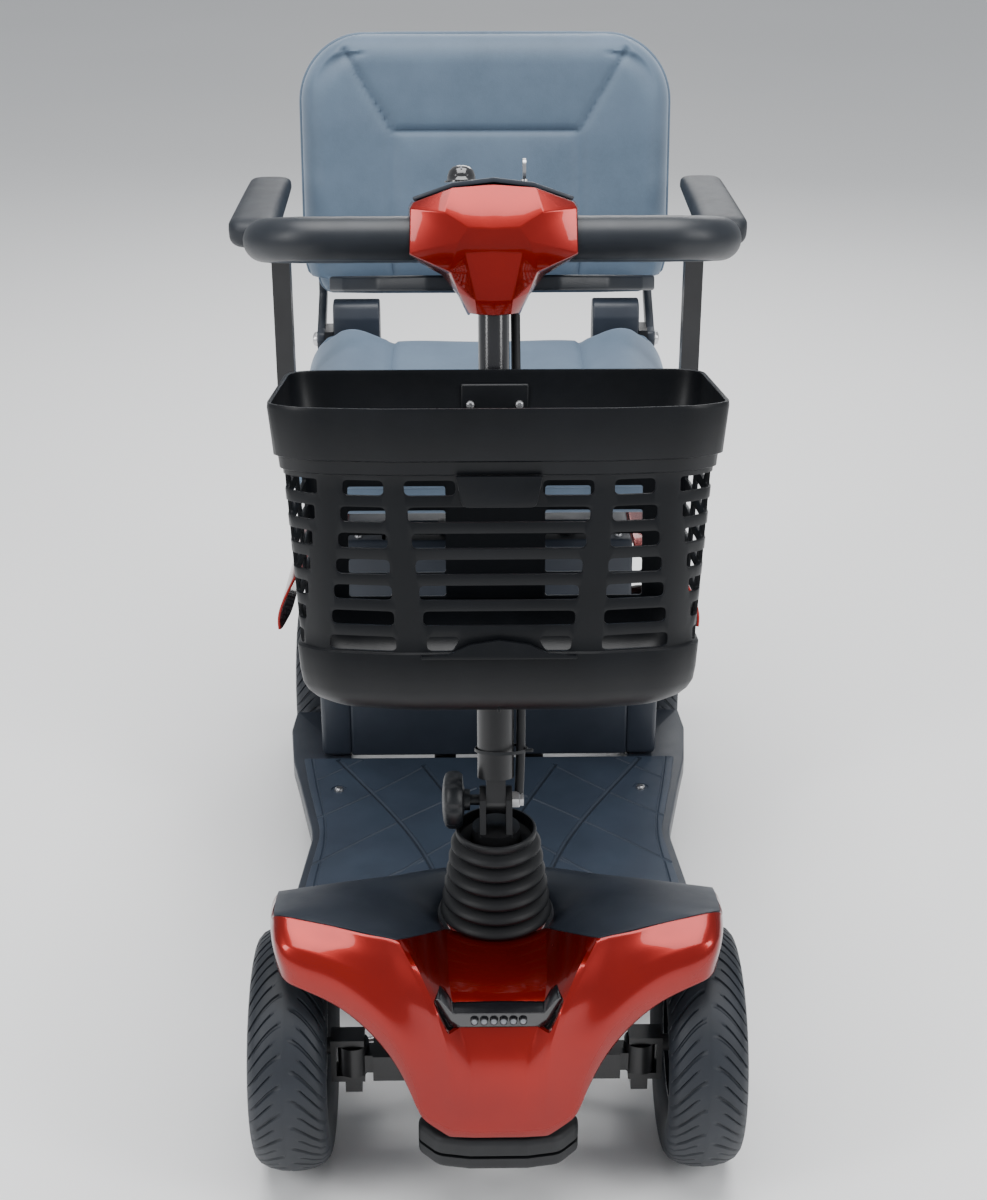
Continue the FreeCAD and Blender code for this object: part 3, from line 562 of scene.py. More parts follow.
# ---- basket
BASKET_RIM, BASKET_LEAN = (0, -0.4095, 0.770), math.radians(-10.4)
BASKET = Matrix.Translation(BASKET_RIM) @ Matrix.Rotation(BASKET_LEAN, 4, "X")
RIM_DEPTH, ROWS, PITCH, SLOT_TALL, FIRST_ROW = 0.258, 7, 0.0215, 0.0125, 0.064


def basket_size(depth, offset=0.0):
    k = depth / RIM_DEPTH
    return (0.179 - 0.017 * k + offset, 0.112 - 0.024 * k + offset, 0.110 - 0.013 * k + offset)


def basket_ring(depth, offset=0.0, inset=0.0):
    half, front, rear = basket_size(depth, offset - inset)
    right = [(half * 0.5, -front + 0.005), (half * 0.86, -front + 0.015),
             (half, -front + 0.036), (half, rear)]
    corner = [0.12, 0.06, 0.018, max(0.032 - inset, 0.004)]
    outline = filleted(both_sides(right), corner + corner[::-1], 9)
    return [(x, y, -depth) for x, y in resampled(outline, 168, closed=True)]


def front_wall(depth):
    return -basket_size(depth)[1]


def basket_shell():
    steps = [(0.0, 0.0015, 0), (0.0035, 0.002, 0), (0.0412, 0.001, 0), (0.0428, -0.0022, 0),
             (0.0525, -0.0025, 0), (0.054, -0.0048, 0)]
    steps += [(0.054 + i * 0.0121, -0.0048, 0) for i in range(1, 12)]
    steps += [(0.2, -0.0046, 0), (0.2012, -0.0018, 0), (0.222, -0.0018, 0)]
    for i in range(1, 7):
        a = math.radians(15 * i)
        steps.append((0.226 + 0.032 * math.sin(a), -0.0018, 0.032 * (1 - math.cos(a))))
    rows = [basket_ring(min(d, RIM_DEPTH), o, i) for d, o, i in steps]
    for shrink in (0.75, 0.5, 0.25):
        rows.append([(x * shrink, y * shrink, z) for x, y, z in rows[-1]])
    rows.append([(0.0, 0.0, rows[-1][0][2])] * len(rows[0]))
    obj = tidy(grid_mesh("basket_shell", rows, close_columns=True))
    return solidify(obj, 0.0032)


def basket_slots():
    cutters = []

    def front_slot(x0, x1, depth, slant=0.0):
        low, high = -depth - SLOT_TALL / 2, -depth + SLOT_TALL / 2
        outline = filleted([(x0, low), (x1 - slant, low), (x1, high), (x0, high)], 0.0045, 4)
        return plate_y("slot", outline, -0.135, -0.05)

    for i in range(ROWS):
        depth = FIRST_ROW + PITCH * i
        low, high = -depth - SLOT_TALL / 2, -depth + SLOT_TALL / 2
        wide = 0.074 - 0.0027 * i
        if i in (0, ROWS - 1):
            inner = 0.034 if i == 0 else 0.030
            half = [front_slot(-wide, -inner, depth, 0.007 if i else 0.0)]
        else:
            cutters.append(front_slot(-wide, wide, depth))
            half = []
        half.append(front_slot(-0.122 - 0.0023 * i, -0.090 + 0.0013 * i, depth))
        inner = 0.142 + 0.0026 * i
        half.append(block("slot", (-0.2, -0.135, low), (-inner, -0.048, high), 0.002, 2))
        for y0, y1 in ((-0.036, 0.018), (0.030, 0.076)):
            half.append(block("slot", (-0.2, y0, low), (-0.13, y1, high), 0.002, 2))
        if i > 1:
            for x0, x1 in ((-0.130, -0.092), (-0.084, -0.044)):
                half.append(block("slot", (x0, 0.07, low), (x1, 0.13, high), 0.002, 2))
        cutters += half + [mirrored(h, "slot") for h in half]
    return join_meshes("slots", cutters)


def basket():
    shell = cut(basket_shell(), basket_slots())
    bevel(shell, 0.0007, 2, 40)
    hump = mm((-62, -1.5), (-40, 0), (-24, 8), (0, 11.5))
    hump += [(-x, z) for x, z in reversed(hump[:-1])] + [(0.062, -0.004), (-0.062, -0.004)]
    hump = plate_y("hump", [(x, max(z, -0.004) - 0.2) for x, z in hump], front_wall(0.2) + 0.0015,
                   front_wall(0.2) + 0.006, 0.0006)
    tab_outline = filleted(mm((-33.5, -53.5), (-29, -78), (29, -78), (33.5, -53.5)),
                           [0.001, 0.007, 0.007, 0.001])
    wall = front_wall(0.065)
    tab = plate_y("tab", tab_outline, wall + 0.0015, wall + 0.0065, 0.0008)
    rib = block("rib", (-0.12, -0.001, -0.2555), (0.12, 0.001, -0.251), 0.0006)
    cross = block("rib", (-0.001, -0.07, -0.2555), (0.001, 0.07, -0.251), 0.0006)
    channel = block("channel", (-0.030, 0.1045, -0.095), (0.030, 0.1125, -0.012), 0.002)
    whole = join_meshes("basket", [shell, hump, tab, rib, cross, channel])
    whole.data.transform(BASKET)
    piece(whole, "basket", "black_plastic", ["basket"], 32, "basket")
    screws("basket_screws", "basket", [(x, 0.1035, -0.030) for x in (-0.0215, 0.0215)],
           (0, -1, 0), 0.0038, BASKET)
    socket = block("basket_socket", (-0.030, -0.042, 0.240), (0.030, -0.0345, 0.305), 0.002)
    piece(on_tiller(socket), "basket", "black_plastic")


# ---- front body
# The red shroud from its centre line outwards: top edge, upper face, brow, lower face, bottom edge.
NOSE = [
    ((0, -434, 237), (0, -517, 236), (0, -525, 217), (0, -544, 177), (0, -542, 109)),
    ((47.5, -407, 236), (46, -511, 241), (37, -523, 219), (21, -543.5, 177.5), (22, -542, 109)),
    ((88, -487, 281), (65, -519, 258), (54, -533, 234), (36, -546, 182), (44, -541, 109.5)),
    ((101, -483, 282), (90, -507, 261), (80, -519, 242), (72, -536, 199), (68.4, -538, 127)),
    ((118, -479, 282.5), (108, -500, 266), (100, -511, 250), (90, -530, 214.7), (77.7, -533, 156)),
    ((140, -472, 284), (130, -490, 274), (122, -503, 260), (109, -520, 236), (93.8, -525, 187)),
    ((160, -467, 285.5), (153, -485, 277), (147, -497, 268), (139, -508, 255), (115.6, -515, 210)),
    ((180, -462, 287), (175, -478, 280), (170, -490, 272), (165, -500, 259.5), (142.8, -505, 230)),
    ((195, -458, 288), (194, -472, 282), (192, -484, 274), (190, -492, 263.5), (178.7, -495, 241)),
    ((202, -450, 283), (203, -460, 279), (202, -468, 274), (201, -476, 266), (197, -486, 244)),
    ((203, -400, 265), (206, -400, 262), (207, -400, 262), (207, -400, 255), (206, -400, 238)),
    ((203, -376, 256), (205, -376, 254), (206, -376, 254), (206, -376, 248), (205, -376, 236)),
]
# The dark panel over the wheels: edge round the boot, middle, outer edge.
TOP_PANEL = [
    ((0, -326, 246), (0, -322, 250), (0, -316, 248)),
    ((20, -330, 246), (32, -326, 252), (48, -318, 250)),
    ((38, -342, 245), (66, -338, 258), (95, -352, 262)),
    ((49, -356, 243), (90, -362, 268), (140, -370, 268)),
    ((54, -370, 241), (110, -375, 276), (205, -377, 262)),
    ((55, -380, 240), (115, -395, 280), (205, -398, 270)),
    ((55, -385, 240), (110, -415, 284), (202.5, -449, 285.5)),
    ((54, -391, 239), (100, -430, 284), (178, -459, 287)),
    ((52, -397, 238), (92, -442, 280), (138, -469, 284)),
    ((50, -400, 238), (82, -448, 274), (116, -476, 282.5)),
    ((48, -403, 237), (68, -450, 262), (89, -483, 281)),
]


def mirror_rows(table):
    rows = []
    for row in zip(*table):
        right = mm(*row)
        rows.append([(-x, y, z) for x, y, z in reversed(right[1:])] + right)
    return rows


def feature_lines(mesh, width, row_crease, column_crease, corners):
    """Crease a grid's edges by row or column, and its vertices by {index: value}."""
    layer = mesh.attributes.new("crease_edge", "FLOAT", "EDGE")
    for edge in mesh.edges:
        (r0, c0), (r1, _) = (divmod(v, width) for v in edge.vertices)
        layer.data[edge.index].value = row_crease(r0) if r0 == r1 else column_crease(c0)
    corner = mesh.attributes.new("crease_vert", "FLOAT", "POINT")
    for index, value in corners.items():
        corner.data[index].value = value


def creased_shell(name, table, row_creases, column_creases, corners):
    """A smooth moulded shell through a table of points, with soft feature lines."""
    rows = mirror_rows(table)
    width, middle = len(rows[0]), len(table) - 1
    obj = grid_mesh(name, rows)
    ends = [(0, middle, 1.0), (len(rows) - 1, middle, 1.0)]
    feature_lines(obj.data, width, lambda row: row_creases.get(row, 0.0),
                  lambda column: column_creases.get(abs(column - middle), 0.0),
                  {r * width + column: value for r, c, value in ends + list(corners)
                   for column in (middle - c, middle + c)})
    subdivide(obj, 3)
    solidify(obj, SKIN)
    return bevel(obj, SKIN_EDGE, 2, 50)


def front_body():
    shroud = creased_shell("front_shroud", NOSE, {0: 1.0, 2: 0.75, 4: 1.0},
                           {1: 0.7, 2: 0.85, 3: 0.35, 10: 0.2, 11: 1.0},
                           [(0, 2, 0.8), (0, 9, 0.5)])
    lamp_hole = plate_y("lamp_hole", filleted(lamp_outline(0.0008), 0.003, 3), -0.57, -0.505)
    cut(shroud, lamp_hole)
    piece(shroud, "chassis", "red_shell", ["front_shroud"], 28)
    panel = creased_shell("top_panel", TOP_PANEL, {0: 1.0, 2: 1.0}, {10: 1.0},
                          [(2, 2, 0.9), (2, 4, 1.0), (2, 6, 0.95), (2, 7, 0.6), (2, 10, 1.0)])
    piece(panel, "chassis", "dark_panel", ["front_top_panel"], 28)


def lamp_outline(grow=0.0):
    right = [(0.0435 + grow, 0.2185 - grow), (0.057 + grow, 0.246 + grow), (0.0515, 0.247 + grow),
             (0.0405, 0.2335 + grow)]
    return both_sides(right)


def headlight():
    """A smoked wedge with six small lamps in a row."""
    lens = plate_y("headlight", filleted(lamp_outline(), 0.003, 3), -0.531, -0.510, 0.0012, 3)
    for v in lens.data.vertices:
        v.co.y += 0.007 * (abs(v.co.x) / 0.057) ** 3
    piece(lens, "chassis", "headlight", ["headlight"])
    lamps, cups = [], []
    for k in range(6):
        x = (k - 2.5) * 0.0086
        turn = Matrix.Translation((x, -0.5308, 0.2262)) @ Matrix.Rotation(math.radians(90), 4, "X")
        lamps.append(turned("lamp", mm((2.9, -1), (2.8, 0.6), (2, 1.6), (1, 2), (0, 2.1)),
                            24, turn))
        cups.append(turned("cup", mm((2.9, 0), (3.1, 0.9), (3.6, 0.9), (3.8, -0.5)), 24, turn))
    piece(join_meshes("lamps", lamps), "chassis", "headlight", finish="led")
    piece(join_meshes("lamp_cups", cups), "chassis", "headlight", finish="gloss")


def steering_boot():
    """Six rubber folds on the steering column with an open collar at the top."""
    low, high, folds = 0.238, 0.324, 6
    step = (high - low) / folds
    outer = [(0.0455, low - 0.002)]
    for i in range(folds):
        radius = 0.0525 - 0.0105 * i / (folds - 1)
        base = low + step * i
        outer += [(radius - 0.009, base + step * 0.02), (radius - 0.003, base + step * 0.16),
                  (radius, base + step * 0.36), (radius, base + step * 0.52),
                  (radius - 0.003, base + step * 0.74), (radius - 0.008, base + step * 0.93)]
    outer += [(0.036, high + 0.001), (0.0375, high + 0.003), (0.0375, high + 0.0075),
              (0.0365, high + 0.009), (0.035, high + 0.009), (0.0345, high + 0.007),
              (0.0335, high - 0.002), (0.024, high - 0.004), (0.023, high - 0.006)]
    place = Matrix.Translation((0, STEER.y, 0))
    boot = turned("steering_boot", outer, 96, place)
    piece(boot, "chassis", "black_rubber", ["steering_boot"], 60)
    ring = turned("boot_ring", mm((46.2, 235.5), (47.5, 237.2), (48.8, 236), (48.8, 234.5)),
                  72, place)
    piece(ring, "chassis", "red_shell")


def front_bumper():
    right = mm((26, -545), (55, -540), (73, -521), (73, -505))
    outline = filleted(both_sides(right),
                       [0.01, 0.02, 0.012, 0, 0, 0.012, 0.02, 0.01])
    pad = prism("front_bumper", outline, 0.070, 0.104, 0.006, 4)
    groove = prism("groove", [(x * 1.1, y - 0.004) for x, y in outline], 0.084, 0.0875)
    inside = prism("inside", [(x * 0.93, y + 0.004) for x, y in outline], 0.08, 0.09)
    cut(groove, inside)
    cut(pad, groove)
    cut(pad, block("beam_space", (-0.0265, -0.530, 0.0895), (0.0265, -0.500, 0.0985)))
    piece(pad, "chassis", "black_rubber", ["front_bumper"], 35)


# ---- upholstery
def distance_to(point, a, b):
    ax, ay = b[0] - a[0], b[1] - a[1]
    length = ax * ax + ay * ay
    t = max(0.0, min(1.0, ((point[0] - a[0]) * ax + (point[1] - a[1]) * ay) / length))
    return math.hypot(point[0] - a[0] - t * ax, point[1] - a[1] - t * ay)


def seam_depth(point, seams, groove, swell, reach):
    """The groove of the nearest stitched seam, and the swell of the panel beside it."""
    nearest = min(distance_to(point, a, b) for a, b in seams)
    return -groove * math.exp(-(nearest / 0.0028) ** 2) + swell * (1 - math.exp(-nearest / reach))


def eased(t):
    """Even steps from -1 to 1 that crowd together near both ends."""
    return 0.45 * t + 0.55 * math.sin(math.pi * t / 2)


def pad(name, half_width, v0, v1, front, back, columns=96, rows=84):
    """A closed cushion: front(u, v) and back(u, v) give the two faces over one outline."""
    faces = []
    for side in (front, back):
        grid = []
        for i in range(rows + 1):
            v = v0 + (v1 - v0) * (eased(2 * i / rows - 1) + 1) / 2
            half = half_width(v)
            line = []
            for j in range(columns + 1):
                u = half * eased(2 * j / columns - 1)
                line.append((u, v, side(u, v)))
            grid.append(line)
        faces.append(grid_mesh(name, grid))
    faces[1].data.flip_normals()
    whole = join_meshes(name, faces)
    return tidy(whole, 2e-4)


def edge_distance(u, v, half_width, v0, v1):
    near = [(v1 - v), (v - v0), (half_width(v) - abs(u))]
    for k in (-0.02, 0.02):
        if v0 < v + k < v1:
            near.append(math.hypot(half_width(v + k) - abs(u), 0.02) - 0.006)
    return max(0.0, min(near))


def roll(distance, radius):
    """Quarter-round edge: 0 at the border, 1 from radius inwards."""
    if distance >= radius:
        return 1.0
    return math.sqrt(max(0.0, 1 - (1 - distance / radius) ** 2))


CLOTH = {
    "quality": 6, "mass": 0.25, "tension_stiffness": 60, "compression_stiffness": 60,
    "shear_stiffness": 40, "bending_stiffness": 12, "pin_stiffness": 1.0,
    "use_pressure": True, "uniform_pressure_force": 2.5, "vertex_group_mass": "stitched",
}


def settle(obj, seams, held_below, frames=10):
    """Let the cover take up its stuffing: cloth pinned at its seams and underside."""
    pins = obj.vertex_groups.new(name="stitched")
    for vertex in obj.data.vertices:
        near = min(distance_to(vertex.co, a, b) for a, b in seams)
        held = vertex.co.z < held_below or near < STITCH
        pins.add([vertex.index], SEAM_PIN if held else PANEL_PIN, "REPLACE")
    cloth = obj.modifiers.new("cloth", "CLOTH")
    for setting, value in CLOTH.items():
        setattr(cloth.settings, setting, value)
    cloth.settings.effector_weights.gravity = 0.0
    cloth.collision_settings.use_collision = False
    cloth.point_cache.frame_start, cloth.point_cache.frame_end = 1, frames
    scene = bpy.context.scene
    for frame_number in range(1, frames + 1):
        scene.frame_set(frame_number)
    apply_modifiers(obj)
    scene.frame_set(1)


SEAT_FRONT, SEAT_REAR, SEAT_HALF, SEAT_SEAM_Z = -0.065, 0.318, 0.211, 0.549
BACK_LOW, BACK_HIGH, BACK_HALF = 0.637, 0.936, 0.216
SEAM_PIN, PANEL_PIN, STITCH = 1.0, 0.45, 0.0035   # how firmly the cover is held, and seam width
PIPING = 0.0026
SEAT_SEAMS = [((-0.108, -0.07), (-0.112, 0.32)), ((0.108, -0.07), (0.112, 0.32))]
BACK_SEAMS = [((-0.110, 0.828), (0.110, 0.828)), ((-0.110, 0.828), (-0.112, 0.60)),
              ((0.110, 0.828), (0.112, 0.60)), ((-0.110, 0.828), (-0.163, 0.918)),
              ((0.110, 0.828), (0.163, 0.918))]


def seat_half(v):
    for end, side, radius in ((SEAT_FRONT, 1, 0.062), (SEAT_REAR, -1, 0.034)):
        inside = (v - end) * side
        if inside < radius:
            return SEAT_HALF - radius + math.sqrt(max(0.0, radius ** 2 - (radius - inside) ** 2))
    return SEAT_HALF


def seat_top(u, v):
    edge = edge_distance(u, v, seat_half, SEAT_FRONT, SEAT_REAR)
    bolster = 0.013 * math.exp(-((abs(u) - 0.158) / 0.030) ** 2)
    dish = -0.004 * math.exp(-(u / 0.09) ** 2) - 0.006 * math.exp(-((v - 0.2) / 0.10) ** 2)
    front = -0.010 * max(0.0, (0.03 - v) / 0.095) ** 2
    return (SEAT_SEAM_Z + (0.046 + bolster + dish + front) * roll(edge, 0.040)
            + seam_depth((u, v), SEAT_SEAMS, 0.0045, 0.004, 0.016) * roll(edge, 0.02))


def seat_base(u, v):
    edge = edge_distance(u, v, seat_half, SEAT_FRONT, SEAT_REAR)
    return SEAT_SEAM_Z - 0.038 * roll(edge, 0.016)


def seat_cushion():
    cushion = pad("seat_cushion", seat_half, SEAT_FRONT, SEAT_REAR, seat_top, seat_base)
    settle(cushion, SEAT_SEAMS, 0.545)
    outline = rim_outline(seat_half, SEAT_FRONT, SEAT_REAR)
    piping = swept("seat_piping", [(x * 1.001, y, 0.5475) for x, y in outline], PIPING, True, 3, 2)
    piece(cushion, "seat", "upholstery", ["seat_cushion"], 60)
    piece(piping, "seat", "upholstery", angle=80)


def rim_outline(half_width, v0, v1, count=64):
    right = []
    for i in range(count):
        v = v0 + (v1 - v0) * (eased(2 * i / (count - 1) - 1) + 1) / 2
        right.append((half_width(v), v))
    return both_sides(right)


def back_half(v):
    low, high, corner = BACK_LOW, BACK_HIGH, 0.078
    half = BACK_HALF - 0.016 * max(0.0, (0.69 - v) / 0.053) ** 2
    if v > high - corner:
        inside = high - v
        half = BACK_HALF - corner + math.sqrt(max(0.0, corner ** 2 - (corner - inside) ** 2))
    foot = 0.02
    if v < low + foot:
        inside = v - low
        turn = math.sqrt(max(0.0, foot ** 2 - (foot - inside) ** 2))
        half = min(half, 0.196 - foot + turn + 0.004)
    return half


def back_front(u, v):
    edge = edge_distance(u, v, back_half, BACK_LOW, BACK_HIGH)
    lumbar = 0.010 * math.exp(-((v - 0.70) / 0.06) ** 2)
    wings = 0.010 * min(1.0, (abs(u) / 0.2) ** 3)
    return (-0.330 + (0.026 + lumbar * 0.6 + wings) * roll(edge, 0.034)
            + seam_depth((u, v), BACK_SEAMS, 0.0045, 0.005, 0.018) * roll(edge, 0.02))


def back_rear(u, v):
    edge = edge_distance(u, v, back_half, BACK_LOW, BACK_HIGH)
    return -0.358 - 0.026 * roll(edge, 0.012)


BACK_FOOT, BACK_LEAN = Vector((0, 0.330, 0.640)), math.radians(-8)
LEAN_BACK = (Matrix.Translation(BACK_FOOT) @ Matrix.Rotation(BACK_LEAN, 4, "X")
             @ Matrix.Translation(-BACK_FOOT))
UPRIGHT = Matrix(((1, 0, 0, 0), (0, 0, -1, 0), (0, 1, 0, 0), (0, 0, 0, 1)))


def backrest():
    cushion = pad("backrest_cushion", back_half, BACK_LOW, BACK_HIGH,
                  lambda u, v: back_front(u, v) - 0.028, back_rear)
    settle(cushion, BACK_SEAMS, -0.352)
    cushion.data.transform(LEAN_BACK @ UPRIGHT)
    outline = rim_outline(back_half, BACK_LOW, BACK_HIGH)
    piping = swept("back_piping", [(x, y, -0.359) for x, y in outline], PIPING, True, 3, 2)
    piping.data.transform(LEAN_BACK @ UPRIGHT)
    piece(cushion, "backrest", "upholstery", ["backrest_cushion"], 60)
    piece(piping, "backrest", "upholstery", angle=80)


ARM_X, ARM_FRONT, ARM_REAR, ARM_Z = 0.250, 0.099, 0.343, 0.770


def arm_pads():
    for word, side in SIDES:
        rows = []
        count = 44
        for i in range(count + 1):
            t = i / count
            y = ARM_FRONT + (ARM_REAR - ARM_FRONT) * (eased(2 * t - 1) + 1) / 2
            end = roll(min(y - ARM_FRONT, ARM_REAR - y), 0.022)
            half = (0.0275 - 0.004 * t) * (0.25 + 0.75 * end)
            top = ARM_Z + (0.0125 - 0.004 * t) * end + 0.0015 * math.sin(math.pi * t)
            low = 0.7695 - (0.0205 - 0.008 * t) * (0.2 + 0.8 * end)
            ring = []
            for k in range(28):
                a = 2 * math.pi * k / 28
                c, s = math.cos(a), math.sin(a)
                across = math.copysign(abs(c) ** 0.55, c)
                up = math.copysign(abs(s) ** 0.6, s)
                z = ARM_Z + up * ((top - ARM_Z) if s > 0 else (ARM_Z - low))
                ring.append((side * ARM_X + half * across, y, z))
            rows.append(ring)
        rows.insert(0, [(side * ARM_X, ARM_FRONT, 0.768)] * 28)
        rows.append([(side * ARM_X, ARM_REAR, 0.768)] * 28)
        obj = tidy(grid_mesh("arm_pad_" + word, rows, close_columns=True))
        slot_x = sorted((side * 0.2165, side * 0.2395))
        cut(obj, block("post_space", (slot_x[0], 0.160, 0.730), (slot_x[1], 0.36, 0.7672)))
        tab = block("tab", (side * 0.242 - 0.0035, 0.166, 0.742),
                    (side * 0.242 + 0.0035, 0.188, 0.762), 0.002)
        pin = turned("pin", mm((0, -13), (4, -13), (4, 16.5), (7, 16.5), (7.5, 19), (5, 21),
                               (0, 21)), 24,
                     along_x((side * 0.230, *pivot(f"armrest_{word}_flip").yz), side))
        piece(obj, "armrest_" + word, "arm_skin", ["arm_pad_" + word], 50)
        piece(join_meshes("arm_tab_" + word, [tab, pin]), "armrest_" + word, "frame_steel")


# ---- tiller head
def on_tiller(obj):
    obj.data.transform(TILLER)
    return obj


def faceted(name, points, faces, thickness, edge):
    obj = new_mesh(name, mm(*points), faces)
    whole = tidy(join_meshes(name, [obj, mirrored(obj, name)]), 1e-5)
    solidify(whole, thickness)
    return bevel(whole, edge, 3, 8)


HEAD_POINTS = [
    (0, -20, 558), (36, -24, 555), (70, -17, 543),                  # 0-2 edge under the cap
    (0, -37, 519), (22, -38, 520), (43, -33, 533), (73, -22, 537),  # 3-6 foot of the top band
    (0, -31, 499), (24, -32, 498), (31, -35, 508), (74, -21.5, 498), (38, -28, 482),
    (16, -27, 457), (0, -28, 457), (0, -25, 444), (15, -24, 445), (22, -10, 446), (31, -12, 464),
    (72, 2, 545), (75, 2, 540), (76, 2, 496), (46, 2, 480), (32, 2, 462), (23, 2, 444),
]
HEAD_FACES = [
    (0, 1, 4, 3), (1, 5, 4), (1, 2, 6, 5), (3, 4, 8, 7), (4, 9, 8), (4, 5, 9), (5, 6, 10, 9),
    (9, 10, 11), (8, 9, 11), (7, 8, 12, 13), (8, 11, 17, 12), (12, 17, 16, 15), (13, 12, 15, 14),
    (2, 18, 19, 6), (6, 19, 20, 10), (10, 20, 21, 11), (11, 21, 22, 17), (17, 22, 23, 16),
]


DIAL, KEY, HORN = (-0.028, 0.017), (0.028, 0.017), (0.0, 0.022)   # across the head


def sloped_back(obj):
    """Let the top face of the head fall away behind the controls."""
    for v in obj.data.vertices:
        if v.co.z > 0.54:
            v.co.z -= max(0.0, v.co.y - 0.016) * 0.30
    return obj


def tiller_head():
    front = faceted("head_front", HEAD_POINTS, [tuple(reversed(f)) for f in HEAD_FACES], 0.0026,
                    0.0016)
    cut(front, loop_core())
    piece(on_tiller(front), "tiller", "red_shell", ["head_front_shell"], 35)
    outline = mm((0, 561), (34, 557), (68.5, 545), (71.5, 528), (72.5, 500), (46, 484.5),
                 (-46, 484.5), (-72.5, 500), (-71.5, 528), (-68.5, 545), (-34, 557))
    cap = sloped_back(plate_y("head_cap", filleted(outline, 0.004, 3), 0.0022, 0.046, 0.008, 4))
    lip_outline = mm((0, 563.5), (35, 559.5), (71.5, 547.5), (70, 544.5), (35, 555.5),
                     (0, 559.5), (-35, 555.5), (-70, 544.5), (-71.5, 547.5), (-35, 559.5))
    front_lip = plate_y("lip", filleted(lip_outline, 0.001, 2), -0.021, 0.006, 0.0009)
    for v in front_lip.data.vertices:
        v.co.y += 0.014 * (abs(v.co.x) / 0.07) ** 2
    middle = 0.522
    inside = [(x * 0.93, middle + (z - middle) * 0.9) for x, z in outline]
    cut(cap, sloped_back(plate_y("cavity", inside, -0.02, 0.040)))
    cut(cap, loop_core())
    for (x, y), r in ((DIAL, 0.0032), (KEY, 0.0032), (HORN, 0.0052)):
        cut(cap, rod("bore", r, 0.53, 0.58, 24, Matrix.Translation((x, y, 0))))
    piece(on_tiller(cap), "tiller", "dark_panel", ["head_rear_shell"], 35)
    piece(on_tiller(front_lip), "tiller", "dark_panel")
    gauge = block("gauge", (-0.012, 0.030, 0.5535), (0.012, 0.040, 0.5565), 0.001)
    piece(on_tiller(gauge), "tiller", "control_black")


def loop_core():
    return rod("loop_core", 0.0199, -0.09, 0.09, 48, along_x((0, 0, LOOP_Z)))


def dial_and_horn():
    dial = turned("speed_dial", mm((0, 576.5), (4, 576.2), (8, 574.8), (11.2, 571.5), (12.5, 567),
                                   (13, 563.5), (15, 562.5), (15, 561.2), (3, 561.2), (3, 546),
                                   (0, 546)), 48,
                  Matrix.Translation((*DIAL, 0)))
    mark = block("dial_mark", (-0.0288, 0.0055, 0.5722), (-0.0272, 0.0125, 0.5756), 0.0004)
    piece(on_tiller(dial), "speed_dial", "control_black", ["speed_dial"], 60)
    piece(on_tiller(mark), "speed_dial", "rim")
    button = turned("horn_button", mm((0, 564), (3.6, 563.4), (4.7, 562.2), (5, 560), (5, 549),
                                      (3, 549), (3, 544), (0, 544)), 40,
                    Matrix.Translation((*HORN, 0)))
    piece(on_tiller(button), "horn_button", "horn_button", ["horn_button"], 50)


def handlebar_foam():
    """Foam sleeve round the closed loop, with rounded ends beside the head."""
    bend, straight, thick = 0.056, 0.152, 0.0195
    path = [(x, 0.0) for x in (0.0655, 0.10, 0.13)]
    for i in range(33):
        a = math.radians(-90 + 180 * i / 32)
        path.append((straight + bend * math.cos(a), bend + bend * math.sin(a)))
    path += [(x, 2 * bend) for x in (0.13, 0.10, 0.05)]
    path += [(0.0, 2 * bend)] + [(-x, y) for x, y in reversed(path)]
    line = resampled(path, 260)
    rings = []
    for i, (x, y) in enumerate(line):
        a, b = line[max(i - 1, 0)], line[min(i + 1, len(line) - 1)]
        tangent = Vector((b[0] - a[0], b[1] - a[1], 0)).normalized()
        side = Vector((tangent.y, -tangent.x, 0))
        near_end = min(i, len(line) - 1 - i)
        radius = thick - 0.004 * max(0.0, 1 - near_end / 2.0) ** 2
        radius += 0.00012 * math.sin(i * 0.7) * math.sin(i * 0.23)
        ring = []
        for k in range(40):
            angle = 2 * math.pi * k / 40
            ring.append(tuple(Vector((x, y, LOOP_Z)) + side * radius * math.cos(angle)
                              + Vector((0, 0, 1)) * radius * math.sin(angle)))
        rings.append(ring)
    first, last = ([tuple(Vector((*centre, LOOP_Z)).lerp(Vector(p), 0.60)) for p in ring]
                   for centre, ring in ((line[0], rings[0]), (line[-1], rings[-1])))
    rings = [first] + rings + [last]
    foam = tidy(grid_mesh("handlebar_foam", rings, close_columns=True))
    piece(on_tiller(foam), "tiller", "foam", ["handlebar_foam"], 50)


def paddles():
    """A wig-wag throttle: one blade under each side of the loop, with two moulded grooves."""
    half = filleted([(14, 14), (60, 17), (105, 34), (138, 60), (153, 84), (141, 89), (120, 73),
                     (90, 56), (50, 40), (14, 32)], [0, 20, 20, 12, 4, 4, 14, 20, 20, 0], 5)
    blade = prism("blade", mm(*half), 0.466, 0.480, 0.0045, 4)
    for inset in (0.32, 0.62):
        points = []
        for x, y0, y1 in ((30, 15, 35), (60, 18, 44), (90, 29, 56), (115, 42, 70), (136, 62, 84)):
            points.append((x * MM, (y0 + (y1 - y0) * inset) * MM, 0.4658))
        cut(blade, swept("groove", points, 0.0014))
    other = mirrored(blade, "blade")
    hub = turned("hub", mm((0, 448), (14, 448), (16, 450), (16, 472), (14, 474), (2.5, 474),
                           (2.5, 490), (0, 490)), 48,
                 Matrix.Translation((*HORN, 0)))
    bridge = block("bridge", (-0.0158, 0.006, 0.463), (0.0158, 0.032, 0.473), 0.002)
    parts = [blade, other, hub, bridge]
    for part in parts:
        cut(part, rod("bore", 0.0189, 0.43, 0.482, 48))
    whole = join_meshes("throttle_paddles", parts)
    piece(on_tiller(whole), "throttle", "paddle", ["throttle_paddles"], 40)


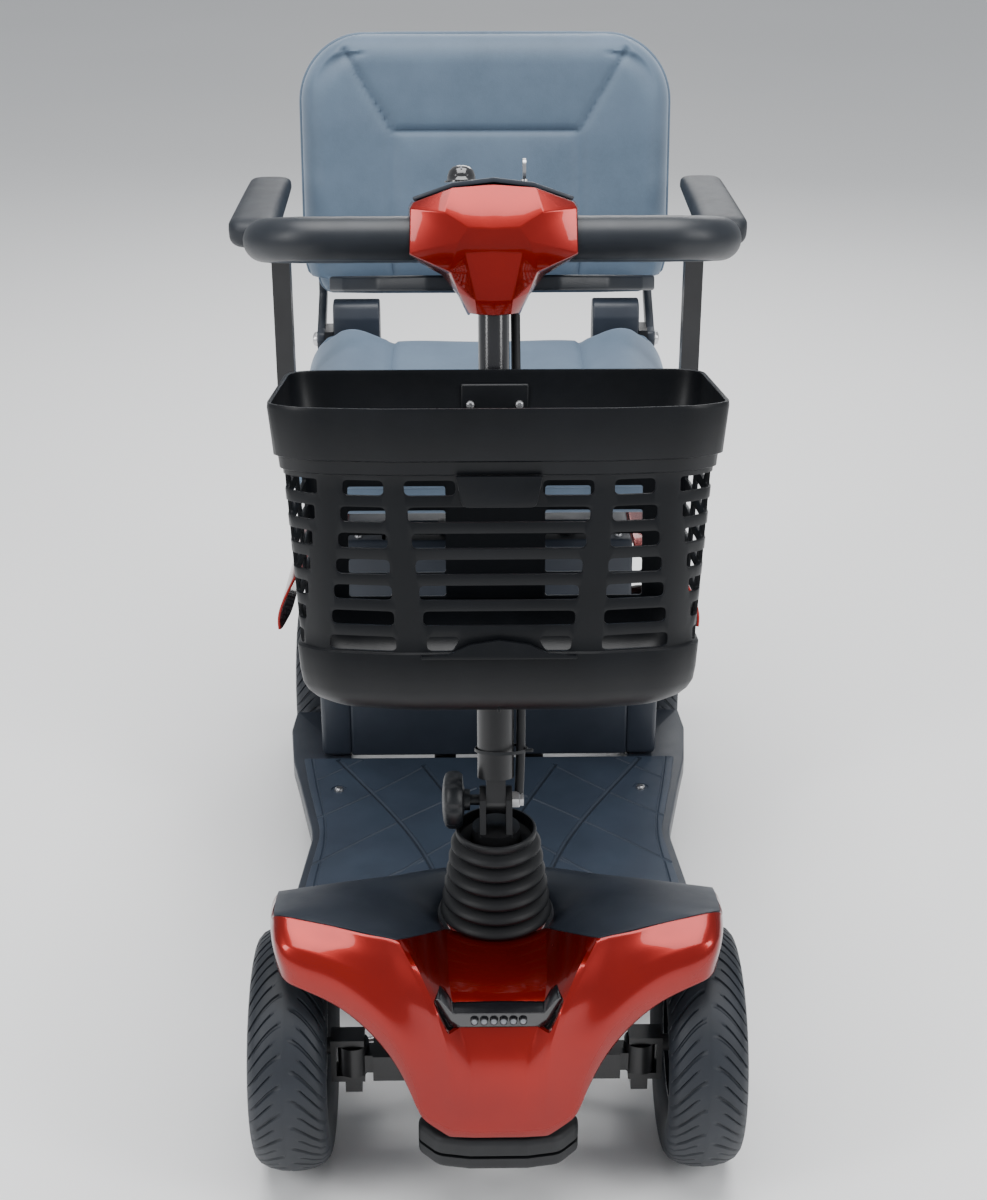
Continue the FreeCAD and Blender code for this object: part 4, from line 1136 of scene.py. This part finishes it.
# ---- wheels
TYRE_R, TYRE_HALF, BEAD_R = 0.115, 0.036, 0.062
TREAD_BLOCKS, TREAD_STEPS, TREAD_R = 26, 16, 0.096      # the tread starts at this radius
TREAD_SWEEP, SHOULDER_HALF = 0.33, 0.0358
WIDE_GROOVE, FINE_GROOVE = 0.0020, 0.0016


def tyre_section(count):
    """(radius, across) points from bead to bead over a soft crown."""
    half = [(BEAD_R, 0.024), (0.066, 0.029), (0.074, 0.0335), (0.085, 0.0358), (0.094, 0.0362),
            (0.1015, 0.0345), (0.1075, 0.0295), (0.1118, 0.021), (0.1142, 0.0105), (TYRE_R, 0.0)]
    section = half + [(r, -w) for r, w in reversed(half[:-1])]
    return resampled(section, count)


def tyre(name, node, body):
    """Treaded tyre: swept grooves run back from the crown to each shoulder."""
    section = tyre_section(49)
    columns = TREAD_BLOCKS * TREAD_STEPS
    centre = pivot(body + "_spin")
    grid = []
    for i in range(columns):
        ring = []
        for radius, w in section:
            crown = radius > TREAD_R
            span = (abs(w) if crown else SHOULDER_HALF) / TYRE_HALF
            shift = TREAD_SWEEP * span ** 1.7
            if w < 0:
                shift += math.pi / TREAD_BLOCKS
            angle = 2 * math.pi * i / columns + shift
            place = i % TREAD_STEPS
            r = radius
            if crown and 0.0035 < abs(w):
                if place in (0, 1):
                    r -= WIDE_GROOVE
                elif place == TREAD_STEPS // 2 and 0.0135 < abs(w) < 0.033:
                    r -= FINE_GROOVE
            if 0.083 < radius < 0.0852:
                r += 0.0006
            ring.append((w, r * math.cos(angle), r * math.sin(angle)))
        grid.append(ring)
    obj = tidy(grid_mesh(name, grid, close_rows=True), 1e-6)
    inner = turned("bead", [(BEAD_R, -0.024), (BEAD_R - 0.002, -0.022), (BEAD_R - 0.002, 0.022),
                            (BEAD_R, 0.024)], 96, along_x((0, 0, 0)))
    whole = join_meshes(name, [obj, inner])
    whole.data.transform(Matrix.Translation(centre))
    piece(whole, body, "tyre", [node], 32)


def rim(name, node, body, bore):
    """Cast five-spoke wheel with a raised barrel lip, a hub cap and a valve."""
    centre = pivot(body + "_spin")
    place = along_x(centre, 1 if centre.x > 0 else -1)
    barrel = turned("barrel", mm((58.5, -26), (62.5, -26.2), (63.2, -24.5), (60, -22), (60, 22),
                                 (63.2, 24.5), (62.5, 26.2), (58.5, 26), (56, 22), (54.5, 12),
                                 (54.5, -22)), 96)
    hub = turned("hub", [(bore, -0.014), (0.0185, -0.014), (0.0195, -0.012), (0.021, 0.004),
                         (0.021, 0.0215), (0.0195, 0.0238), (bore, 0.0238)], 64)
    spokes = []
    for k in range(5):
        a = math.radians(72 * k + 36)
        outline = filleted(mm((17, -8.5), (40, -6.2), (57.5, -12.5), (57.5, 12.5), (40, 6.2),
                              (17, 8.5)),
                           [0, 0.02, 0, 0, 0.02, 0], 6)
        spoke = prism("spoke", outline, 0.001, 0.013, 0.003, 3)
        spoke.data.transform(Matrix.Rotation(a, 4, "Z"))
        spokes.append(spoke)
    whole = join_meshes(name, [barrel, hub] + spokes)
    whole.data.transform(place)
    piece(whole, body, "rim", [node], 35)
    cap = turned("hub_cap", mm((16.5, 23.5), (17.2, 26), (16.5, 29.2), (12.5, 30.8), (6, 31.6),
                               (0, 31.8)), 48)
    cap.data.transform(place)
    piece(cap, body, "black_plastic", angle=50)
    valve = turned("valve", mm((2.4, 0), (2.8, 2), (2.2, 13), (2.8, 14), (2.8, 20), (2, 21),
                               (0, 21)), 20)
    valve.data.transform(place @ Matrix.Translation((0.047, 0, 0.012)))
    piece(valve, body, "black_rubber")


def wheels():
    for end, bore in (("front", 0.0082), ("rear", 0.00852)):
        for word, _ in SIDES:
            body = f"{end}_wheel_{word}"
            tyre(f"{end}_tyre_tread_{word}", f"{end}_tyre_{word}", body)
            rim(f"{end}_wheel_disc_{word}", f"{end}_rim_{word}", body, bore)


# ---- floor
DECK_TOP, MAT_TOP = 0.128, 0.131
# Moulded lines of the mat, in mm: (groove width, points across the floor).
MAT_LINES = [
    (2.4, [(-181, 99), (-137, 22), (-101, -44), (-71, -116), (-57, -167), (-54, -235)]),
    (2.4, [(-79, 85), (-63, 47), (-38, -10), (-18, -70), (-10, -130), (-9, -200)]),
    (1.5, [(-198, -35), (-140, 11), (-79, 78)]),
    (1.5, [(-197, -132), (-107, -46), (-58, 0), (-14, 30)]),
    (1.5, [(-113, -163), (-80, -122), (-50, -90), (-22, -66)]),
    (1.5, [(-203, 50), (-175, 74), (-151, 98)]),
    (1.5, [(-190, -225), (-120, -160), (-72, -122)]),
]


def floor_mat():
    half = [(74, -317), (74, -254), (182, -250), (200, -230), (200, -165), (191, -65),
            (212, 40), (222, 102)]
    outline = both_sides(mm(*half))
    radius = [0, 0.008, 0.012, 0.03, 0.06, 0.12, 0.12, 0.003]
    sheet = prism("floor_mat", filleted(outline, radius + radius[::-1], 6), DECK_TOP, MAT_TOP,
                  0.001, 2)
    cutters = []
    for width, points in MAT_LINES:
        for side in (1, -1):
            line = [(side * x * MM, y * MM, MAT_TOP + 0.0004) for x, y in points]
            cutters.append(swept("groove", line, width * 1.5 * MM, False, 4, 8))
    border = [(x * 0.955, y + (0.006 if y < -0.2 else 0)) for x, y in outline[2:8]]
    for side in (1, -1):
        line = [(side * x, y, MAT_TOP + 0.0003) for x, y in border]
        cutters.append(swept("groove", line, 0.0018, False, 3, 10))
        cutters.append(turned("recess", mm((0, -1), (9, -1), (9.5, 2), (0, 2)), 40,
                              Matrix.Translation((side * 0.176, 0.029, MAT_TOP))))
    for cutter in cutters:
        cut(sheet, cutter)
    piece(sheet, "chassis", "floor_mat", ["floor_mat"], 30)
    screws("mat_screws", "chassis", [(s * 0.176, 0.029, MAT_TOP - 0.0008) for s in (1, -1)],
           (0, 0, 1), 0.0055)


def deck():
    """The floor moulding: a dished tray with a turned-down edge and a front riser."""
    half = [(82, -325), (82, -262), (190, -258), (209, -236), (209, -165), (200, -65),
            (224, 53), (235, 104), (243, 180), (240, 226)]
    outline = both_sides(mm(*half))
    radius = [0.004, 0.01, 0.012, 0.03, 0.06, 0.12, 0.12, 0.08, 0.05, 0.004]
    tray = prism("deck", filleted(outline, radius + radius[::-1], 6), 0.104, DECK_TOP,
                 0.003, 3)
    inner = [(x * 0.975, y + (0.005 if y < -0.2 else -0.005 if y > 0.2 else 0))
             for x, y in outline]
    cut(tray, prism("hollow", filleted(inner, radius + radius[::-1], 6), 0.09, 0.122))
    cut(tray, block("body_space", (-0.166, 0.105, 0.09), (0.166, 0.24, 0.14)))
    cut(tray, block("rail_space", (-0.0665, -0.33, 0.09), (0.0665, -0.315, 0.1142)))
    ribs = [block("rib", (s * 0.053 - 0.013, -0.25, 0.114), (s * 0.053 + 0.013, 0.09, 0.123))
            for s in (1, -1)]
    riser = filleted(mm((-80, 126), (80, 126), (74, 232), (-74, 232)), [0, 0, 0.012, 0.012])
    riser = plate_y("riser", riser, -0.325, -0.320, 0.001)
    whole = join_meshes("deck", [tray, riser] + ribs)
    piece(whole, "chassis", "dark_panel", ["footboard"], 30)


# ---- rear body
REAR_PAD_X = 0.128                      # middle of each tail light and bumper pad
# The fender along the wheel arch, in mm: (y, height of the top line, height of the lower edge).
FENDER = [(105, 398, 302), (130, 405, 292), (180, 406, 278), (232, 405, 262), (290, 405, 252),
          (350, 390, 248), (400, 362, 247), (446, 312, 244), (478, 262, 232)]


def left_only(side, node):
    """The left piece of a pair stands for a CAD node that holds both."""
    return [node] if side > 0 else []


def fender(word, side):
    grid = []
    for y, top, edge in FENDER:
        row = [(166, y, top), (192, y, top - 8), (222, y, top - 32),
               (238, y, (top - 32 + edge) / 2), (243, y, edge + 14), (242, y, edge)]
        grid.append([(side * x * MM, y * MM, z * MM) for x, y, z in row])
    panel = grid_mesh("fender_" + word, grid)
    last = len(panel.data.vertices) - 1
    feature_lines(panel.data, 6, lambda row: 1.0 if row in (0, len(FENDER) - 1) else 0.0,
                  lambda column: {0: 1.0, 2: 0.6, 5: 1.0}.get(column, 0.0),
                  {index: 1.0 for index in (0, 5, last - 5, last)})
    subdivide(panel, 3)
    if side > 0:
        panel.data.flip_normals()
    solidify(panel, SKIN)
    bevel(panel, SKIN_EDGE, 2, 50)
    piece(panel, "chassis", "red_shell", left_only(side, "rear_side_panels"), 30)


def tail_light(side):
    """A lens with five moulded ribs."""
    outline = mm((104, 246), (152, 246), (154, 262), (146, 276), (106, 276))
    light = plate_y("tail_light", filleted([(side * x, z) for x, z in outline], 0.005, 4),
                    0.448, 0.4575, 0.002, 3)
    piece(light, "chassis", "tail_lens", left_only(side, "tail_lights"))
    middle, pitch = side * REAR_PAD_X, 0.0052
    ribs = [block("lens_rib", (middle - 0.019, 0.4566, 0.2505 + pitch * k),
                  (middle + 0.019, 0.4584, 0.2522 + pitch * k), 0.0005)
            for k in range(5)]
    piece(join_meshes("lens_ribs", ribs), "chassis", "tail_lens")


def rear_bumper(side):
    """A rubber pad with three grooves across it."""
    pad = plate_y("rear_bumper", rounded(side * 0.092, side * 0.164, 0.172, 0.206, 0.009),
                  0.448, 0.4765, 0.006, 4)
    middle = side * REAR_PAD_X
    for k in range(3):
        z = 0.181 + 0.008 * k
        cut(pad, block("groove", (middle - 0.04, 0.4745, z - 0.001),
                       (middle + 0.04, 0.48, z + 0.001)))
    piece(pad, "chassis", "black_rubber", left_only(side, "rear_bumper"))


def rear_body():
    for word, side in SIDES:
        fender(word, side)
        tail_light(side)
        rear_bumper(side)
    rear_cover()
    battery_top()
    rollers()


def rear_cover():
    """The box over battery and motor: rounded edges and side vents."""
    side = mm((105, 131.5), (105, 395), (118, 408), (290, 408), (390, 366), (448, 300), (448, 165),
              (430, 165))
    cover = plate_x("rear_cover", filleted(side, [0, 0.004, 0.008, 0.03, 0.04, 0.012, 0.006, 0], 5),
                    -0.165, 0.165, 0.005, 3)
    inside = mm((108, 120), (108, 393), (119, 404.5), (289, 404.5), (388, 363), (445, 298),
                (445, 160), (429, 120))
    cut(cover, plate_x("inside", inside, -0.162, 0.162))
    wings = []
    for s in (1, -1):
        x0, x1 = sorted((s * 0.164, s * 0.200))
        wing = block("wing", (x0, 0.105, 0.1315), (x1, 0.232, 0.296), 0.006)
        x0, x1 = sorted((s * 0.155, s * 0.197))
        cut(wing, block("inside", (x0, 0.108, 0.12), (x1, 0.240, 0.293)))
        wings.append(wing)
    cover = join_meshes("rear_cover", [cover] + wings)
    cutters = [block("battery_space", (-0.123, 0.119, 0.38), (0.123, 0.177, 0.43), 0.006),
               block("tow_space", (-0.038, 0.440, 0.150), (0.038, 0.470, 0.236)),
               block("axle_space", (-0.163, 0.300, 0.100), (0.163, 0.410, 0.132)),
               rod("post_space", 0.026, 0.38, 0.43, 48, Matrix.Translation((0, POST.y, 0)))]
    for k in range(5):
        z = 0.200 + 0.014 * k
        cutters.append(plate_y("vent", rounded(-0.045, 0.045, z, z + 0.005, 0.0024, 3),
                               0.09, 0.115))
    for cutter in cutters:
        cut(cover, cutter)
    piece(cover, "chassis", "dark_panel", ["rear_cover"], 30)
    screws("cover_screws", "chassis", [(s * 0.150, y, 0.4082) for s in (1, -1)
                                       for y in (0.130, 0.275)], (0, 0, 1), 0.0045)


def battery_top():
    case = block("battery_case", (-0.122, 0.120, 0.165), (0.122, 0.176, 0.405), 0.006)
    cut(case, block("inside", (-0.118, 0.124, 0.169), (0.118, 0.172, 0.395)))
    lugs = [block("lug", (s * 0.0542 - 0.0038, 0.152, 0.403), (s * 0.0542 + 0.0038, 0.168, 0.4145),
                  0.002) for s in (1, -1)]
    socket = turned("charge_socket",
                    mm((0, 405.5), (6.5, 405.5), (6.5, 408.5), (9.5, 408.5), (10.5, 407.5),
                       (10.5, 404), (0, 404)), 40, Matrix.Translation((0.092, 0.148, 0)))
    whole = join_meshes("battery_case", [case, socket] + lugs)
    piece(whole, "battery", "black_plastic", ["battery_case"])
    bail = prism("battery_bail", rounded(-0.050, 0.050, 0.128, 0.1648, 0.006), 0.4066, 0.4136,
                 0.0022, 3)
    cut(bail, prism("grip_space", rounded(-0.038, 0.038, 0.138, 0.154, 0.005), 0.39, 0.43))
    pin = rod("bail_pin", 0.0035, -0.057, 0.057, 24, along_x((0, *pivot("battery_handle_fold").yz)))
    whole = join_meshes("battery_bail", [bail, pin])
    piece(whole, "battery_bail", "black_plastic", ["battery_handle"])


def rollers():
    for word, side in SIDES:
        wheel = turned("anti_tip_roller_" + word,
                       mm((5.1, -10), (10, -10.5), (11, -8), (18, -8), (19, -10.5), (22, -10),
                          (24.5, -7.5), (25, -3), (24.3, 0), (25, 3), (24.5, 7.5), (22, 10),
                          (19, 10.5), (18, 8), (11, 8), (10, 10.5), (5.1, 10)), 64,
                       along_x(pivot(f"roller_{word}_spin")))
        piece(wheel, "roller_" + word, "black_rubber", ["anti_tip_roller_" + word], 40)


# ---- tiller column and seat fittings
def tilt_knob():
    """A lobed hand knob on its clamp screw."""
    grid = []
    profile = mm((0, 0), (10, 0.4), (19, 1.4), (24.5, 3.5), (26.6, 6.5), (27, 11), (26.6, 15.5),
                 (24, 19), (15, 20), (10, 21), (10, 26), (5, 26.2), (5, 66), (0, 66))
    for i in range(120):
        a = 2 * math.pi * i / 120
        ring = []
        for r, h in profile:
            lobe = 1 - 0.045 * max(0.0, math.cos(7 * a)) ** 3 if r > 0.018 else 1.0
            ring.append((r * lobe * math.cos(a), r * lobe * math.sin(a), h))
        grid.append(ring)
    knob = tidy(grid_mesh("tilt_knob", grid, close_rows=True), 1e-5)
    knob.data.transform(along_x((-0.050, *TILT.yz)))
    piece(knob, "tilt_knob", "black_plastic", ["tilt_knob"], 40)
    nut = turned("tilt_nut", mm((0, 0), (8.5, 0), (8.5, 6.2), (6.8, 7.2), (6.8, 10.5), (0, 11)), 6,
                 along_x((0.0152, *TILT.yz)))
    piece(nut, "steering", "bare_steel", angle=20)


def tiller_cable():
    line = mm((19.5, 12, 462), (20, 11, 400), (20.8, 9, 320), (21.2, 6, 220), (23.5, 3, 120),
              (24, 2, 50), (21.5, 1, 4))
    cable = swept("tiller_cable", line, 0.0043, False, 4, 16)
    piece(on_tiller(cable), "tiller", "black_rubber", ["tiller_cable"], 60)
    tie = turned("cable_tie", mm((18.5, -1.3), (19.5, -1.5), (19.5, 1.5), (18.5, 1.3)), 64)
    for v in tie.data.vertices:
        v.co.x = v.co.x * 1.27 + 0.0052
    tie.data.transform(Matrix.Translation((0, 0, 0.048)))
    tail = block("tie_tail", (0.026, -0.0075, 0.0463), (0.0345, -0.0045, 0.0497), 0.0008)
    piece(on_tiller(join_meshes("cable_tie", [tie, tail])), "tiller", "black_plastic")


def hinge_covers():
    for word, side in SIDES:
        outline = filleted(mm((319, 505.5), (357, 505.5), (357, 610), (350, 628), (326, 628),
                              (319, 610)), [0.003, 0.003] + [0.012] * 4)
        x0, x1 = sorted((side * 0.128, side * 0.1836))
        cover = plate_x("hinge_cover_" + word, outline, x0, x1, 0.004, 3)
        piece(cover, "seat", "dark_panel", left_only(side, "hinge_covers"))
        bolt = screw("hinge_bolt", (side * 0.2040, *HINGE.yz), (side, 0, 0), 0.009)
        piece(bolt, "backrest", "bare_steel")


def backrest_shell():
    """The moulded rear panel with a raised rim, and its two hinge arms."""
    outline = [(x * 0.965, 0.786 + (v - 0.786) * 0.965)
               for x, v in rim_outline(back_half, BACK_LOW, BACK_HIGH, 40)]
    panel = plate_y("back_panel", outline, 0.386, 0.396, 0.004, 3)
    dish = plate_y("dish", [(x * 0.90, 0.786 + (v - 0.786) * 0.88) for x, v in outline],
                   0.3935, 0.41, 0.001, 1)
    cut(panel, dish)
    cut(panel, plate_y("grip_hole", rounded(-0.055, 0.055, 0.875, 0.893, 0.008), 0.3915, 0.41))
    panel.data.transform(LEAN_BACK)
    arms = []
    profile = mm((323, 580), (327, 570), (337, 566), (347, 570), (404, 616), (412, 700), (398, 700),
                 (387, 624), (339, 593), (327, 590))
    for side in (1, -1):
        x0, x1 = sorted((side * 0.1944, side * 0.204))
        arm = plate_x("hinge_arm", filleted(profile, 0.006, 4), x0, x1, 0.0015, 2)
        pin = rod("pin", 0.006, 0.184, 0.204, 32, along_x((0, *HINGE.yz), side))
        arms += [arm, pin]
    whole = join_meshes("backrest_shell", [panel] + arms)
    piece(whole, "backrest", "dark_panel", ["backrest_shell"], 35)


def small_levers():
    bar = prism("swivel_bar", filleted(mm((82, 229), (200, 229), (214, 226.5), (232, 227.5),
                                          (232, 244.5), (214, 245.5), (200, 243), (82, 243)),
                                       [0.006, 0.01, 0.01, 0.006, 0.006, 0.01, 0.01, 0.006]),
                0.494, 0.5015, 0.0022, 3)
    at = Matrix.Translation((*pivot("swivel_lever_pull").xy, 0))
    pin = rod("pin", 0.003, 0.494, 0.509, 24, at)
    lever = join_meshes("swivel_lever", [bar, pin])
    piece(lever, "swivel_lever", "black_plastic", ["swivel_lever"], 40)
    arm = plate_x("freewheel", filleted(mm((438.5, 141.5), (446, 139), (500, 146), (508, 152),
                                           (500, 157), (446, 155),
                                           (438.5, 152.5)), 0.004), 0.1044, 0.113, 0.0015, 2)
    cut(arm, rod("bore", 0.00405, 0.09, 0.13, 24, along_x((0, *pivot("freewheel").yz))))
    piece(arm, "freewheel_lever", "lever_yellow", ["freewheel_lever"], 40)


dress_cad()
basket()
front_body()
headlight()
steering_boot()
front_bumper()
seat_cushion()
backrest()
arm_pads()
tiller_head()
dial_and_horn()
handlebar_foam()
paddles()
wheels()
floor_mat()
deck()
rear_body()
tilt_knob()
tiller_cable()
hinge_covers()
backrest_shell()
small_levers()
camera()
studio()
